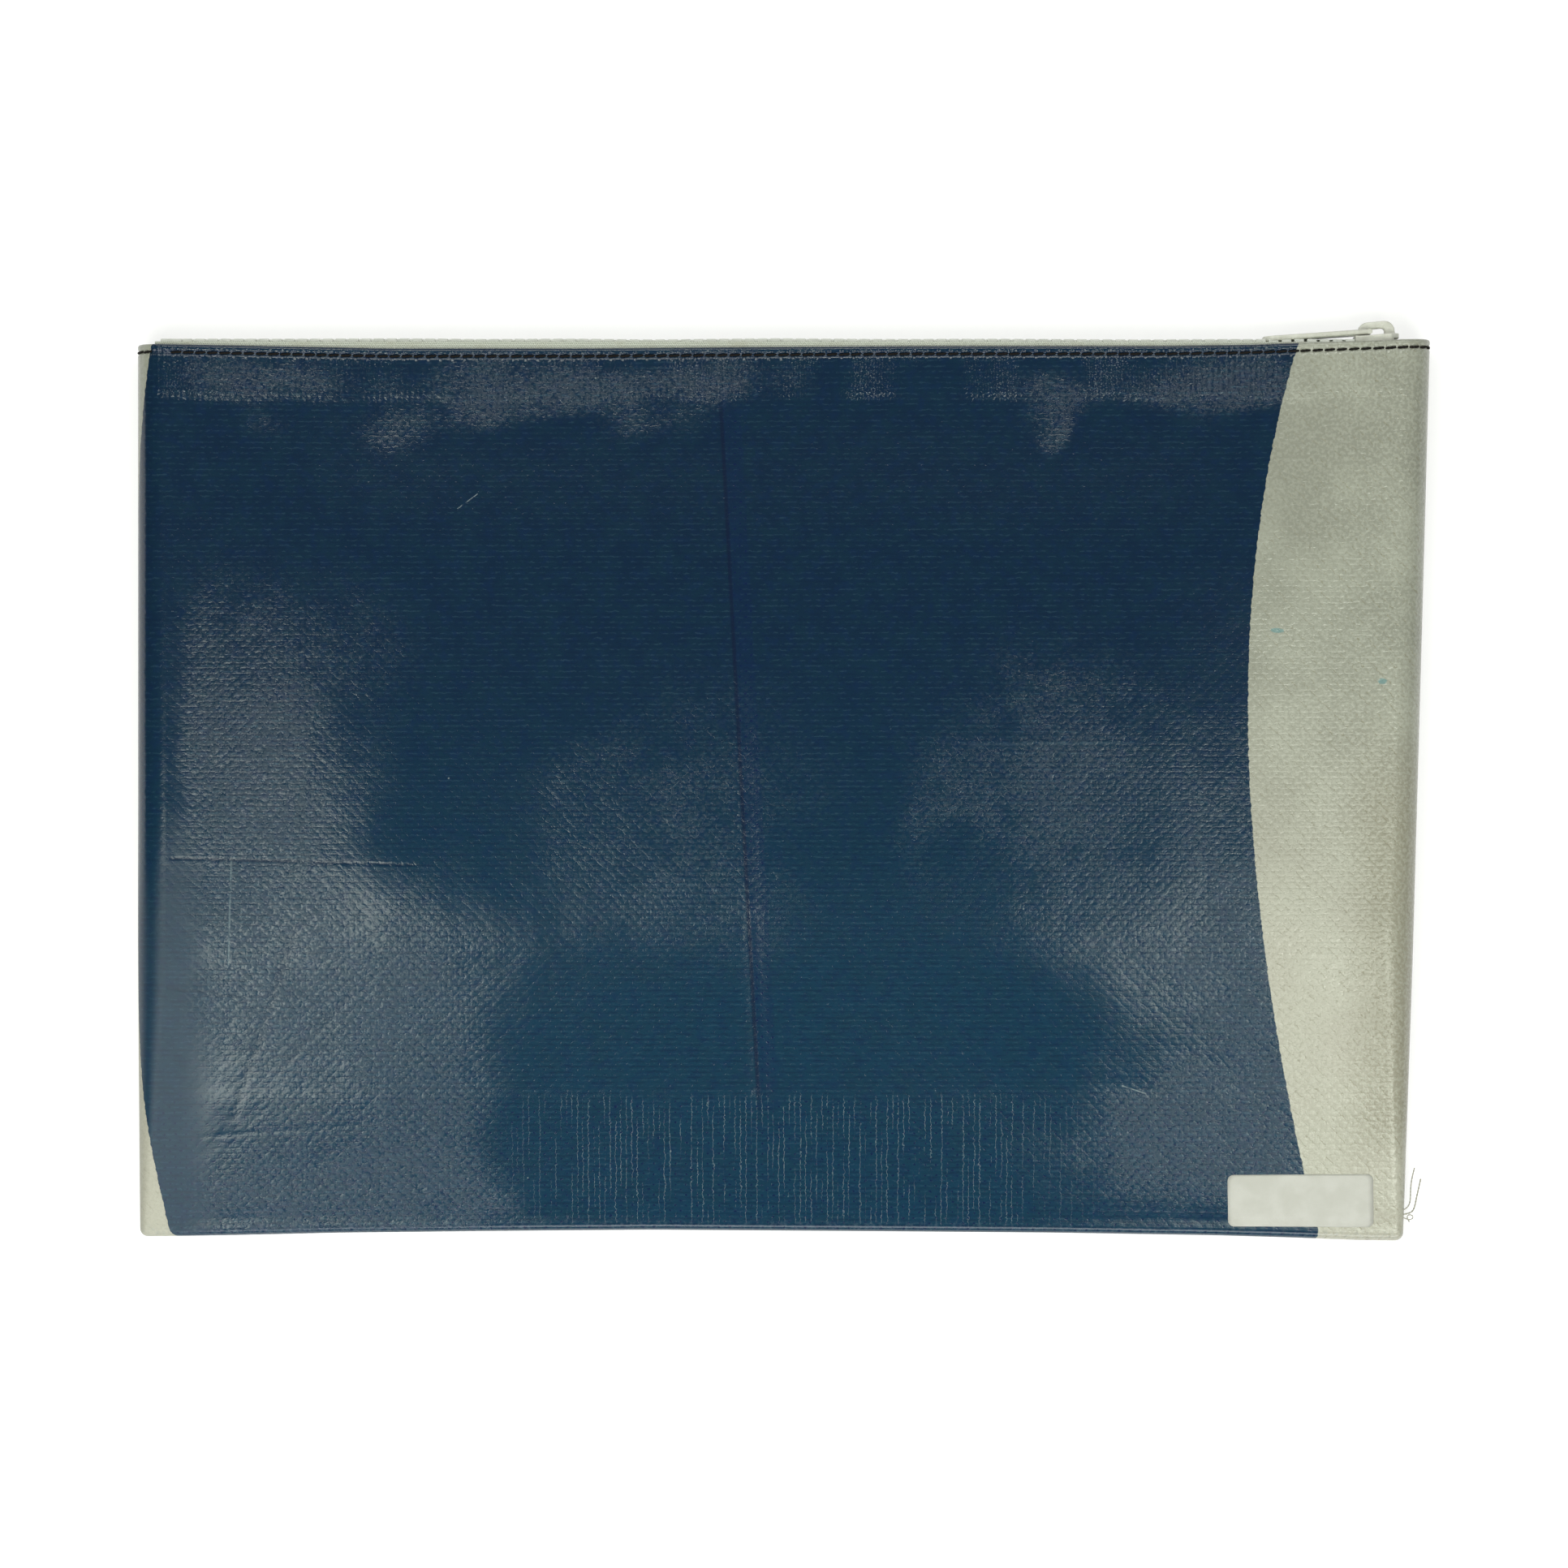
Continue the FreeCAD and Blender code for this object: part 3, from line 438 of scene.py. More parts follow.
def with_wear_and_painted_light(s, flat, x, y, base, grain, weave, strip):
    """The colour with pale threads above the fold, specks, the rubbed fold with a painted highlight, creases
    painted darker as shade and smudges; then the scratches and the creases, which also dent the coat."""
    wave = s.math("SINE", s.mul(s.add(weave.u, s.mul(weave.tremble, 0.4)), math.pi))
    thread = s.step(s.math("ABSOLUTE", wave), 0.2, 0.03)
    broken = s.step(s.noise(s.mapped(flat, (0.62, 0.03, 1)), 1.0, 2), 0.44, 0.56)
    region = s.mul(s.step(x, -110, -40, 0.0, 0.85), s.step(x, 112, 60))
    scratched = s.mul(s.mul(s.mul(thread, broken), strip), s.mul(region, s.step(y, -134, -128)))
    base = s.mix(s.mul(scratched, 0.36), base, srgb(126, 152, 158))
    speck = s.step(s.voronoi(flat, 0.06), 0.022, 0.012)
    base = s.mix(s.mul(speck, 0.35), base, srgb(160, 176, 176))
    # partly rubbed wear, partly a painted highlight: patches of lighter navy along the bottom fold's curve
    rubbed_and_lit = s.step(s.noise(flat, 0.9, 3), 0.45, 0.7)
    fold = s.mul(s.step(s.math("ABSOLUTE", s.add(y, 133)), 3.2, 0.6), rubbed_and_lit)
    base = s.mix(s.mul(fold, 0.18), base, srgb(106, 126, 138))
    marked = 0.0
    # the dark marks paint shade into the creases; the pale ones are scratches
    for start, end, width, tone, strength in MARKS:
        mark = s.mul(stroke(s, x, y, start, end, width), s.step(s.noise(flat, 0.35, 3), 0.3, 0.55))
        base = s.mix(s.mul(mark, strength), base, srgb(*tone))
        marked = s.add(s.mul(mark, strength), marked)
    smudge = s.math("MAXIMUM", patch(s, s.add(x, s.mul(y, 0.4)), y, (167.4, 48.4), (3.4, 1.2)),
                    patch(s, x, y, (179.8, 33.2), (2.2, 1.4)))
    base = s.mix(s.mul(s.step(s.mul(smudge, grain), 0.12, 0.3), 0.6), base, srgb(84, 140, 144))
    return base, scratched, marked


def tarpaulin(name):
    """PVC-coated cloth: navy print on grey white, the weave telegraphing through the coat."""
    s = Shader(name, roughness=0.4, specular=0.5)
    attribute = s.node("ShaderNodeAttribute", attribute_name="flat")
    flat = s.mapped(attribute.outputs["Vector"], (1 / MM, 1 / MM, 1))
    x, y, inner = s.split(flat)
    blotch = s.noise(flat, 0.12, 3, 0.6)
    grain = s.noise(flat, 2.2, 3, 0.6)
    patchy = s.noise(flat, 0.07, 3, 0.6)
    weave = weave_forms(s, flat, x, y)
    layers = layer_marks(s, flat, x, y)
    printed = print_mask(s, flat, x, y, inner)
    shiny = sheen_mask(s, flat, x, y, patchy)

    # low: 0 at the top and 1 towards the fold; it carries the painted light of both colours
    low = s.step(y, 60, -70)
    base = s.mix(printed, grey_white(s, flat, x, y, low, grain, weave),
                 navy_print(s, flat, low, blotch, shiny, weave, layers))
    base, scratched, marked = with_wear_and_painted_light(s, flat, x, y, base, grain, weave, layers.strip)
    s.color(base)

    # gloss
    scatter = s.mul(shiny, s.add(s.step(weave.speckle, 0.38, 0.62, 0.12, 0.85), s.mul(weave.raised, 0.4)))
    scatter = s.sub(scatter, s.mul(s.add(s.mul(weave.falling, 0.6), s.mul(weave.rising, 0.4)), 0.6))
    scatter = s.math("ADD", scatter, s.mul(s.sub(blotch, 0.5), 0.12), clamp=True)
    rolled = s.mul(s.mul(s.step(x, -168, -184), s.step(y, 0, -50)), 0.30)
    s.roughness(s.add(s.add(s.add(0.14, rolled), s.mul(scatter, 0.28)), s.mul(grain, 0.03)))

    # relief
    hem = s.step(y, 115, 121)
    puckered = s.mul(hem, s.step(s.noise(s.mapped(flat, (0.05, 0.02, 1)), 1.0, 1), 0.35, 0.6))
    pucker = s.mul(s.math("SINE", s.mul(weave.u, 2 * math.pi)), puckered)
    hole_x = s.math("COSINE", s.mul(s.sub(x, HOLE_X), 2 * math.pi / STITCH_PITCH))
    hole = s.mul(s.step(hole_x, 0.45, 1.0), s.step(s.math("ABSOLUTE", s.sub(y, SEAM_Y)), 2.0, 0.0))
    worn = s.math("MAXIMUM", s.step(shiny, 0.05, 0.8, 0.12, 1.0), s.step(printed, 0.6, 0.4, 0.0, 0.6))
    woven = 0.0
    for form, tall in ((weave.raised, 0.05), (weave.falling, -0.045), (weave.rising, -0.03),
                       (weave.speckle, 0.09), (weave.furrow, -0.03)):
        woven = s.add(s.mul(form, tall), woven)
    height = s.mul(woven, worn)
    for form, tall in ((weave.pore, -0.01), (pucker, 0.06), (hole, -0.2), (grain, 0.006),
                       (scratched, -0.02), (patchy, 0.2), (layers.ridge_line, -0.015), (marked, -0.08)):
        height = s.add(height, s.mul(form, tall))
    s.bump(height, 0.9)
    return s.material


def thread_material(name, color, light):
    s = Shader(name, roughness=0.85, specular=0.2)
    p = s.object_mm()
    fibre = s.noise(s.mapped(p, (3, 9, 9)), 1.0, 3, 0.7)
    s.color(s.mix(s.step(fibre, 0.35, 0.75), color, light))
    s.bump(s.mul(fibre, 0.08))
    return s.material


def tape_material():
    """Knitted tape: wales along the zip, each a row of small loops."""
    s = Shader("knit_tape", roughness=0.8, specular=0.25, Sheen_Weight=0.3, Sheen_Roughness=0.5)
    p = s.object_mm()
    x, y, z = s.split(p)
    across = s.add(y, z)
    wale = s.math("ABSOLUTE", s.math("SINE", s.mul(across, math.pi / 0.55)))
    loop = s.math("SINE", s.add(s.mul(x, 2 * math.pi / 0.62), s.mul(across, 6.0)))
    knit = s.add(s.mul(wale, 0.6), s.mul(loop, 0.2))
    dirt = s.noise(p, 0.12, 3, 0.6)
    # painted shade and highlight: the knit is darker in the hollows between the wales and lighter on their
    # crests
    base = s.mix(s.step(knit, 0.0, 0.7), srgb(168, 172, 160), srgb(222, 227, 215))
    s.color(s.mix(s.mul(s.step(dirt, 0.45, 0.7), 0.35), base, srgb(182, 180, 162)))
    s.bump(s.add(s.mul(knit, 0.14), s.mul(s.noise(p, 5, 2), 0.05)))
    return s.material


def teeth_material():
    s = Shader("acetal_teeth", roughness=0.42, specular=0.45)
    p = s.object_mm()
    tone = s.noise(p, 0.25, 3)
    grime = s.step(s.noise(p, 1.4, 3, 0.7), 0.55, 0.75)
    base = s.mix(s.step(tone, 0.35, 0.65), srgb(228, 231, 224), srgb(240, 242, 236))
    s.color(s.mix(s.mul(grime, 0.15), base, srgb(176, 178, 164)))
    s.roughness(s.step(tone, 0.3, 0.7, 0.36, 0.5))
    s.bump(s.add(s.mul(s.noise(p, 3, 3), 0.03), s.mul(tone, 0.05)))
    return s.material


def enamel_material():
    """Off-white enamel over zinc, chipped to grey metal here and there."""
    s = Shader("enamel", roughness=0.38, specular=0.5)
    p = s.object_mm()
    chip = s.step(s.noise(p, 1.3, 4, 0.7), 0.70, 0.73)
    tone = s.noise(p, 0.3, 3)
    base = s.mix(s.step(tone, 0.35, 0.65), srgb(214, 214, 204), srgb(226, 226, 217))
    base = s.mix(s.mul(s.step(s.noise(p, 0.9, 4, 0.7), 0.5, 0.7), 0.2), base, srgb(186, 184, 164))
    s.color(s.mix(chip, base, srgb(118, 118, 112)))
    s.roughness(s.step(tone, 0.3, 0.7, 0.32, 0.48))
    s.bump(s.add(s.mul(chip, -0.05), s.mul(s.noise(p, 1.1, 2), 0.06)))
    return s.material


def label_material():
    s = Shader("label_film", roughness=0.5, specular=0.4)
    p = s.object_mm()
    tone = s.noise(p, 0.15, 3)
    weave = s.noise(p, 1.2, 2)
    base = s.mix(s.step(tone, 0.35, 0.7), srgb(184, 184, 176), srgb(193, 193, 186))
    s.color(s.mix(s.mul(s.step(s.noise(p, 0.8, 4, 0.7), 0.55, 0.75), 0.2), base, srgb(172, 170, 156)))
    s.roughness(s.step(tone, 0.3, 0.7, 0.42, 0.6))
    s.bump(s.mul(weave, 0.06))
    return s.material


TARP = tarpaulin("tarpaulin")
BLACK_THREAD = thread_material("black_thread", srgb(14, 13, 13), srgb(38, 33, 30))
PALE_THREAD = thread_material("pale_thread", srgb(140, 138, 124), srgb(205, 203, 190))
TAPE = tape_material()
TEETH = teeth_material()
ENAMEL = enamel_material()
LABEL = label_material()


# ---------------------------------------------------------------- the bag's form
HEM_BOW = eased_line([(-195, 0.7), (-176, 0.3), (-150, -0.2), (-120, -0.8), (-60, -0.8), (0, -0.35),
                      (40, -0.1), (115, -0.1), (140, 0.3), (160, 1.0), (180, 1.7), (195, 2.3)], 14)
FOLD_BOW = eased_line([(-195, -0.7), (-170, -0.4), (-135, 0.4), (-90, 0.9), (-40, 1.3), (33, 0.8),
                       (82, 0.4), (131, -0.4), (155, -1.1), (175, -1.9), (195, -2.0)], 20)
# broad swells of the front panel: middle x, middle y, reach along x and y, height
SWELLS = [(-150, 34, 30, 52, 1.3), (-128, -92, 36, 24, 0.5), (88, 24, 30, 26, 1.2), (96, -62, 34, 22, 0.7),
          (-45, 6, 34, 34, 0.6), (30, 40, 38, 40, -0.4), (0, -70, 44, 26, -0.4), (150, -40, 20, 30, 0.5)]


def right_edge(y):
    return RIGHT_X - SIDE_TAPER * (MOUTH_Y - y) / (MOUTH_Y - FOLD_Y)


def front_line(y):
    """Depth that the sloping foot of the front panel allows."""
    slope = (CROWN - 2 * FOLD_RADIUS) / (SLOPE_TOP_Y - FOLD_Y - FOLD_RADIUS)
    return 2 * FOLD_RADIUS + slope * (y - FOLD_Y - FOLD_RADIUS)


def depths(y):
    """(depth at the sides, depth at the crown, height of the back) of a row."""
    axis = FOLD_Y + FOLD_RADIUS
    half = np.sqrt(np.maximum(FOLD_RADIUS ** 2 - np.minimum(y - axis, 0) ** 2, 0))
    line = front_line(y)
    fall = MOUTH_DEPTH + (CROWN - MOUTH_DEPTH) * smooth(HEM_Y, CREST_END_Y, y)
    side = soft_min(line, MOUTH_DEPTH, 3.0)
    crown = soft_min(line, fall, 2.5)
    below = y < axis
    return (np.where(below, 2 * half, side), np.where(below, 2 * half, crown),
            np.where(below, FOLD_RADIUS - half, 0.0))


def swell(x, y):
    """Undulation of the front panel, calm along the sides, the fold and the hem's edge."""
    total = 0.35 * waves(x, y, 6, 120, 55, 3)
    for cx, cy, rx, ry, height in SWELLS:
        total = total + height * np.exp(-((x - cx) / rx) ** 2 - ((y - cy) / ry) ** 2)
    spine = x + RIDGE_OFFSET + RIDGE_SLANT * y
    total = total + 0.22 * np.exp(-(spine / 2.6) ** 2) * smooth(125, 110, y) * smooth(-104, -88, y)
    quiet = smooth(0, 26, x - LEFT_X - 8) * smooth(0, 24, right_edge(y) - 7 - x)
    return total * quiet * smooth(FOLD_Y + 2, FOLD_Y + 30, y) * smooth(MOUTH_Y - 1, MOUTH_Y - 22, y)


def front_z(x, y, fine=True):
    side, crown, lift = depths(y)
    r = side / 2
    inward = np.minimum(x - (LEFT_X + r), right_edge(y) - r - x)
    z = lift + side + (crown - side) * smooth(0, CROWN_FROM_SIDE, inward) + swell(x, y)
    hem_line = HEM_Y + 0.8 * waves(x, 0 * x, 3, 60, 25, 5)
    z = z + HEM_STEP * smooth(-2.6, 1.6, y - hem_line)
    z = z + 0.10 * smooth(STRIP_TOP_Y + 2.5, STRIP_TOP_Y - 2.5, y) * smooth(FOLD_Y, FOLD_Y + 12, y)
    z = z - 0.45 * np.exp(-((y - CREASE_Y) / 1.1) ** 2) * (0.6 + 0.4 * waves(x, 0 * x, 3, 140, 50, 21))
    if fine:
        z = z - GROOVE_DEPTH * np.exp(-((y - SEAM_Y) / (GROOVE_WIDTH * 0.6)) ** 2)
    return z


FRONT_COLUMNS = 340
ARC = 12
RING = 2 * (FRONT_COLUMNS + 1) + 2 * ARC
SEAM_INSET, SEAM_RISE = 0.25, 0.3   # the side seam's turn onto the back


def outer_rows(ys, fine=True):
    """Grid of the sheet's outer face: one closed ring of points for each row."""
    ys = np.asarray(ys, float)[:, None]
    side, _, lift = depths(ys)
    r = side / 2
    below_corner = np.maximum(CORNER_RADIUS - (ys - FOLD_Y), 0)
    corner = CORNER_RADIUS - np.sqrt(np.maximum(CORNER_RADIUS ** 2 - below_corner ** 2, 0))
    x0, x1 = LEFT_X + r + corner, right_edge(ys) - r - corner
    u = np.linspace(0, 1, FRONT_COLUMNS + 1)[None, :]
    front_x = x0 + (x1 - x0) * u
    front = np.stack(np.broadcast_arrays(front_x, ys, front_z(front_x, ys, fine)), -1)
    groove = GROOVE_DEPTH * np.exp(-((ys - SEAM_Y) / (GROOVE_WIDTH * 0.6)) ** 2) if fine else 0 * ys
    end_z = front[:, -1:, 2], front[:, :1, 2]
    arcs = []
    for centre, sign, top in ((x1, 1, end_z[0]), (x0, -1, end_z[1])):
        angle = np.pi / 2 - np.pi * np.arange(1, ARC + 1)[None, :] / ARC
        height = (top - lift) / 2
        arcs.append(np.stack(np.broadcast_arrays(
            centre + sign * (r - groove) * np.cos(angle), ys,
            lift + height + height * np.sin(angle)), -1))
    back_x = np.concatenate([x1 - SEAM_INSET, front_x[:, ::-1][:, 1:-1], x0 + SEAM_INSET], 1)
    lifted = 0.22 * (1 + waves(back_x, ys, 5, 130, 60, 11)) * smooth(FOLD_Y, FOLD_Y + 20, ys)
    lifted = lifted * smooth(0, 30, np.minimum(back_x - x0, x1 - back_x))
    back_z = lift + np.where(ys < FOLD_Y + FOLD_RADIUS, 0, lifted) + groove
    back = np.stack(np.broadcast_arrays(back_x, ys, back_z), -1)
    arcs[0][:, -1, 2] += SEAM_RISE
    arcs[1][:, -1, 2] += SEAM_RISE
    return np.concatenate([front, arcs[0], back, arcs[1][:, ::-1]], 1)


def row_normals(grid):
    along = np.roll(grid, -1, 1) - np.roll(grid, 1, 1)
    up = np.gradient(grid, axis=0)
    normal = unit(np.cross(along, up))
    collapsed = np.ptp(grid[0, :, 2]) < 1e-6
    if collapsed:
        normal[0] = (0, -1, 0)
    return normal


def bowed(points):
    """The hem and the fold aren't straight: they rise and fall along the bag."""
    out = np.array(points, float)
    x, y = out[..., 0], out[..., 1]
    out[..., 1] = (y + HEM_BOW(x) * smooth(MOUTH_Y - 55, MOUTH_Y - 2, y)
                   + FOLD_BOW(x) * smooth(FOLD_Y + 50, FOLD_Y + 2, y))
    return out


def fold_rows(count):
    """Row positions round the bottom fold, from its lowest line up."""
    angle = np.linspace(np.pi / 2, 0, count)
    return FOLD_Y + FOLD_RADIUS - FOLD_RADIUS * np.sin(angle)


def sheet_coordinates(ys):
    """Where each grid point lay in the sheet before it was folded and sewn."""
    ys = np.asarray(ys, float)[:, None]
    side, _, _ = depths(ys)
    r = side / 2
    x0, x1 = LEFT_X + r, right_edge(ys) - r
    u = np.linspace(0, 1, FRONT_COLUMNS + 1)[None, :]
    front_x = x0 + (x1 - x0) * u
    sweep = np.pi * r * np.arange(1, ARC + 1)[None, :] / ARC
    x = np.concatenate([front_x, x1 + sweep, front_x[:, ::-1], (x0 - sweep)[:, ::-1]], 1)
    on_back = np.zeros(RING, bool)
    on_back[FRONT_COLUMNS + 1 + ARC:2 * FRONT_COLUMNS + 2 + ARC] = True
    y = np.where(on_back[None, :], 2 * FOLD_Y - ys, ys)
    return np.stack([x, y], -1)


def weld_map(points, ring_of_row, front):
    """Numbers that join the two halves of a closed-up row."""
    index = np.arange(points)
    base = ring_of_row * RING
    right_arc = base + front + 1
    back = right_arc + ARC
    left_arc = back + front + 1
    index[right_arc:right_arc + ARC] = base + front
    index[back:back + front + 1] = base + front - np.arange(front + 1)
    index[left_arc:left_arc + ARC] = base
    return index


def store_flat(obj, values):
    """Keeps where each point lay in the cut sheet, in metres, with z 1 on the inside face."""
    attribute = obj.data.attributes.new("flat", "FLOAT_VECTOR", "POINT")
    attribute.data.foreach_set("vector", values.astype(np.float32).ravel())


def panel_rows(top):
    """Row positions from the fold to the mouth, close together where the surface turns."""
    return np.concatenate([
        fold_rows(9)[:-1], np.arange(FOLD_Y + FOLD_RADIUS, STRIP_TOP_Y - 2, 1.6),
        np.arange(STRIP_TOP_Y - 1.8, STRIP_TOP_Y + 2, 0.45),
        np.arange(STRIP_TOP_Y + 2.4, HEM_Y - 2.4, 2.0),
        np.arange(HEM_Y - 2, HEM_Y + 2.2, 0.4),
        np.arange(HEM_Y + 2.6, SEAM_Y - 1.6, 0.8),
        np.arange(SEAM_Y - 1.5, top, 0.2), [top]])


def make_tarp():
    """The sheet as one closed shell: outer face, rolled mouth, turned-in hem, inner face."""
    roll = THICKNESS
    top = MOUTH_Y - roll
    ys = panel_rows(top)
    outer = outer_rows(ys)
    coordinates = [sheet_coordinates(ys)]
    grids = [outer]
    edge = outer_rows([top - 0.4, top, top + 0.4])
    edge_normal = row_normals(edge)[1]
    for angle in np.radians([30, 60, 90, 120, 150, 180]):
        ring = edge[1] - edge_normal * roll * (1 - math.cos(angle)) + np.array([0, roll * math.sin(angle), 0])
        grids.append(ring[None])
        coordinates.append(sheet_coordinates([top + roll * angle]))
    inner_hem = np.array([top - 3, top - 7, top - 11, HEM_Y])
    inner_ys = np.concatenate([
        [HEM_Y], np.arange(HEM_Y - 2, FOLD_Y + FOLD_RADIUS + 1, -5),
        fold_rows(5)[::-1]])
    smooth_ys = np.concatenate([inner_ys[::-1], inner_hem[::-1][1:]])
    smooth_grid = outer_rows(smooth_ys, fine=False)
    smooth_normal = row_normals(smooth_grid)
    count = len(inner_ys)
    hem_grid, hem_normal = smooth_grid[count - 1:][::-1], smooth_normal[count - 1:][::-1]
    grids.append(hem_grid - hem_normal * (2 * roll))
    coordinates.append(sheet_coordinates(2 * top - inner_hem))
    grids.append(smooth_grid[:count][::-1] - smooth_normal[:count][::-1] * THICKNESS)
    inside = sheet_coordinates(inner_ys)
    rows_printed = sum(len(g) for g in grids[:-1])
    coordinates.append(inside)
    points = np.concatenate(grids, 0)
    flat = np.concatenate(coordinates, 0)
    rows = len(points)
    flat = np.concatenate([flat, np.zeros((rows, RING, 1))], -1)
    flat[rows_printed:, :, 2] = 1.0
    points = bowed(points).reshape(-1, 3)
    index = weld_map(len(points), 0, FRONT_COLUMNS)
    last = weld_map(len(points), rows - 1, FRONT_COLUMNS)
    index[(rows - 1) * RING:] = last[(rows - 1) * RING:]
    faces = welded(grid_faces(rows, RING, True), index)
    points, faces, used = compact(points, faces)
    obj = mesh_piece("tarp_bag", points, faces, TARP, replaces=["tarp_sheet"])
    store_flat(obj, flat.reshape(-1, 3)[used] * np.array([MM, MM, 1.0]))
    return obj


def make_base_strip():
    """The doubling strip in the bottom fold, a folded band just inside the sheet."""
    ys = np.concatenate([fold_rows(7)[:-1], np.linspace(FOLD_Y + FOLD_RADIUS, STRIP_TOP_Y, 12)])
    grid = outer_rows(ys, fine=False)
    normal = row_normals(grid)
    columns = np.arange(4, FRONT_COLUMNS - 3, 6)
    behind = 2 * FRONT_COLUMNS + 1 + ARC - columns
    path = np.concatenate([grid[::-1, columns], grid[1:, behind]], 0)
    path_normal = np.concatenate([normal[::-1, columns], normal[1:, behind]], 0)
    gap = THICKNESS + 0.1
    near, far = bowed(path - path_normal * gap), bowed(path - path_normal * (gap + THICKNESS))
    rows, cols = near.shape[:2]
    points = np.concatenate([near.reshape(-1, 3), far.reshape(-1, 3)])
    size = rows * cols
    faces = [f[::-1] for f in grid_faces(rows, cols, False).tolist()]
    faces += grid_faces(rows, cols, False, size).tolist()
    rim = ([(0, c) for c in range(cols)] + [(r, cols - 1) for r in range(1, rows)]
           + [(rows - 1, c) for c in range(cols - 2, -1, -1)] + [(r, 0) for r in range(rows - 2, 0, -1)])
    ids = [r * cols + c for r, c in rim]
    faces += [[a, b, b + size, a + size] for a, b in zip(ids, ids[1:] + ids[:1])]
    obj = mesh_piece("base_doubling", points, faces, TARP, replaces=["base_strip"])
    values = points * MM
    values[:, 2] = 1.0
    store_flat(obj, values)


def tube(path, radius, sides=10, ply=0.0, twist=0.0):
    """Points and faces of a tube; ply gives it two strands that turn twist radians per mm."""
    path = np.asarray(path, float)
    tangent = unit(np.gradient(path, axis=0))
    helper = np.array([0, 0, 1.0])
    side = unit(np.cross(tangent, helper))
    up = np.cross(side, tangent)
    travelled = np.concatenate([[0], np.cumsum(np.linalg.norm(np.diff(path, axis=0), axis=1))])
    angle = np.linspace(0, 2 * np.pi, sides, endpoint=False)[None, :]
    radius = np.broadcast_to(radius, (len(path),))[:, None]
    reach = radius * (1 + ply * np.cos(2 * (angle - twist * travelled[:, None])))
    points = path[:, None] + reach[..., None] * (np.cos(angle)[..., None] * side[:, None]
                                                 + np.sin(angle)[..., None] * up[:, None])
    points = points.reshape(-1, 3)
    faces = grid_faces(len(path), sides, True).tolist()
    faces += [list(range(sides))[::-1], [(len(path) - 1) * sides + i for i in range(sides)]]
    return points, faces


def joined(parts):
    points, faces, start = [], [], 0
    for p, f in parts:
        points.append(p)
        faces += [[i + start for i in face] for face in f]
        start += len(p)
    return np.concatenate(points), faces


def make_hem_stitches():
    """Lockstitches all round the hem, each a short twisted thread that dives in at its ends."""
    ring = bowed(outer_rows([SEAM_Y - 0.3, SEAM_Y, SEAM_Y + 0.3]))
    normal = row_normals(ring)[1]
    line = ring[1]
    line = np.concatenate([line, line[:1]])
    normal = np.concatenate([normal, normal[:1]])
    length = np.concatenate([[0], np.cumsum(np.linalg.norm(np.diff(line, axis=0), axis=1))])
    first = length[FRONT_COLUMNS // 2] % STITCH_PITCH - STITCH_PITCH / 2
    starts = np.arange(first, length[-1] - STITCH_PITCH, STITCH_PITCH)
    pieces = {"front": [], "back": []}
    for start in starts[starts >= 0]:
        t = np.linspace(0, 1, 9)
        reach = STITCH_LENGTH * rng.uniform(0.96, 1.06)
        s = start + t * reach
        at = np.stack([np.interp(s, length, line[:, k]) for k in range(3)], 1)
        out = unit(np.stack([np.interp(s, length, normal[:, k]) for k in range(3)], 1))
        lift = THREAD_RADIUS * 0.6 - 0.75 * np.abs(2 * t - 1) ** 5 + 0.05
        slant = (t - 0.5) * rng.uniform(0.18, 0.36)
        path = at + out * lift[:, None] + np.array([0, 1.0, 0]) * slant[:, None]
        radius = THREAD_RADIUS * (1 - 0.18 * np.abs(2 * t - 1) ** 4)
        path[:, 2] = np.maximum(path[:, 2], radius * 1.25 + 0.03)
        part = tube(path, radius, 12, 0.2, 2.6)
        middle = at[4]
        pieces["back" if middle[2] < MOUTH_DEPTH * 0.5 else "front"].append(part)
    for face, parts in pieces.items():
        points, faces = joined(parts)
        mesh_piece(f"hem_stitching_{face}", points, faces, BLACK_THREAD,
                   replaces=[f"hem_thread_{face}"])


# ---------------------------------------------------------------- the zip
CHAIN_WAVE = eased_line([(-195, 0.0), (-170, 0.0), (-145, 0.0), (-128, 0.1), (-110, 0.1), (-90, -0.1),
                         (-65, 0.05), (-40, -0.25), (-4, 0.15), (33, -0.1), (60, 0.0), (107, -0.25),
                         (131, -0.1), (160, -0.1), (195, -0.1)], 16)


SHARP_ANGLE = 35                 # edges that turn more than this are rounded


def copied(node, name, material, bevel=0.0, segments=2, body="bag", move=None):
    """A cleaned copy of a CAD node's mesh with its sharp edges rounded."""
    bm = bmesh.new()
    bm.from_mesh(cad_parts[node].data)
    bmesh.ops.remove_doubles(bm, verts=bm.verts, dist=1e-6)
    bmesh.ops.dissolve_limit(bm, angle_limit=math.radians(0.8), verts=bm.verts, edges=bm.edges)
    if bevel:
        sharp = [e for e in bm.edges if len(e.link_faces) == 2 and e.is_convex
                 and e.calc_face_angle() > math.radians(SHARP_ANGLE)]
        bmesh.ops.bevel(bm, geom=sharp, offset=bevel * MM, offset_type="OFFSET", segments=segments,
                        profile=0.6, affect="EDGES", clamp_overlap=True)
    bmesh.ops.triangulate(bm, faces=[f for f in bm.faces if len(f.verts) > 4])
    bmesh.ops.recalc_face_normals(bm, faces=bm.faces)
    if move:
        for v in bm.verts:
            v.co = move(v.co / MM) * MM
    mesh = bpy.data.meshes.new(name)
    bm.to_mesh(mesh)
    bm.free()
    mesh.materials.clear()
    mesh.materials.append(material)
    mesh.polygons.foreach_set("use_smooth", [True] * len(mesh.polygons))
    mesh.set_sharp_from_angle(angle=math.radians(40))
    obj = link(bpy.data.objects.new(name, mesh))
    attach(obj, body)
    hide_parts(node)


def follow_chain(p):
    return Vector((p.x, p.y + float(CHAIN_WAVE(p.x)), p.z))


def turned(pivot, degrees):
    spin = Matrix.Rotation(math.radians(degrees), 3, "Z")
    centre = Vector((pivot[0], pivot[1], 0))
    return lambda p: spin @ (p - centre) + centre


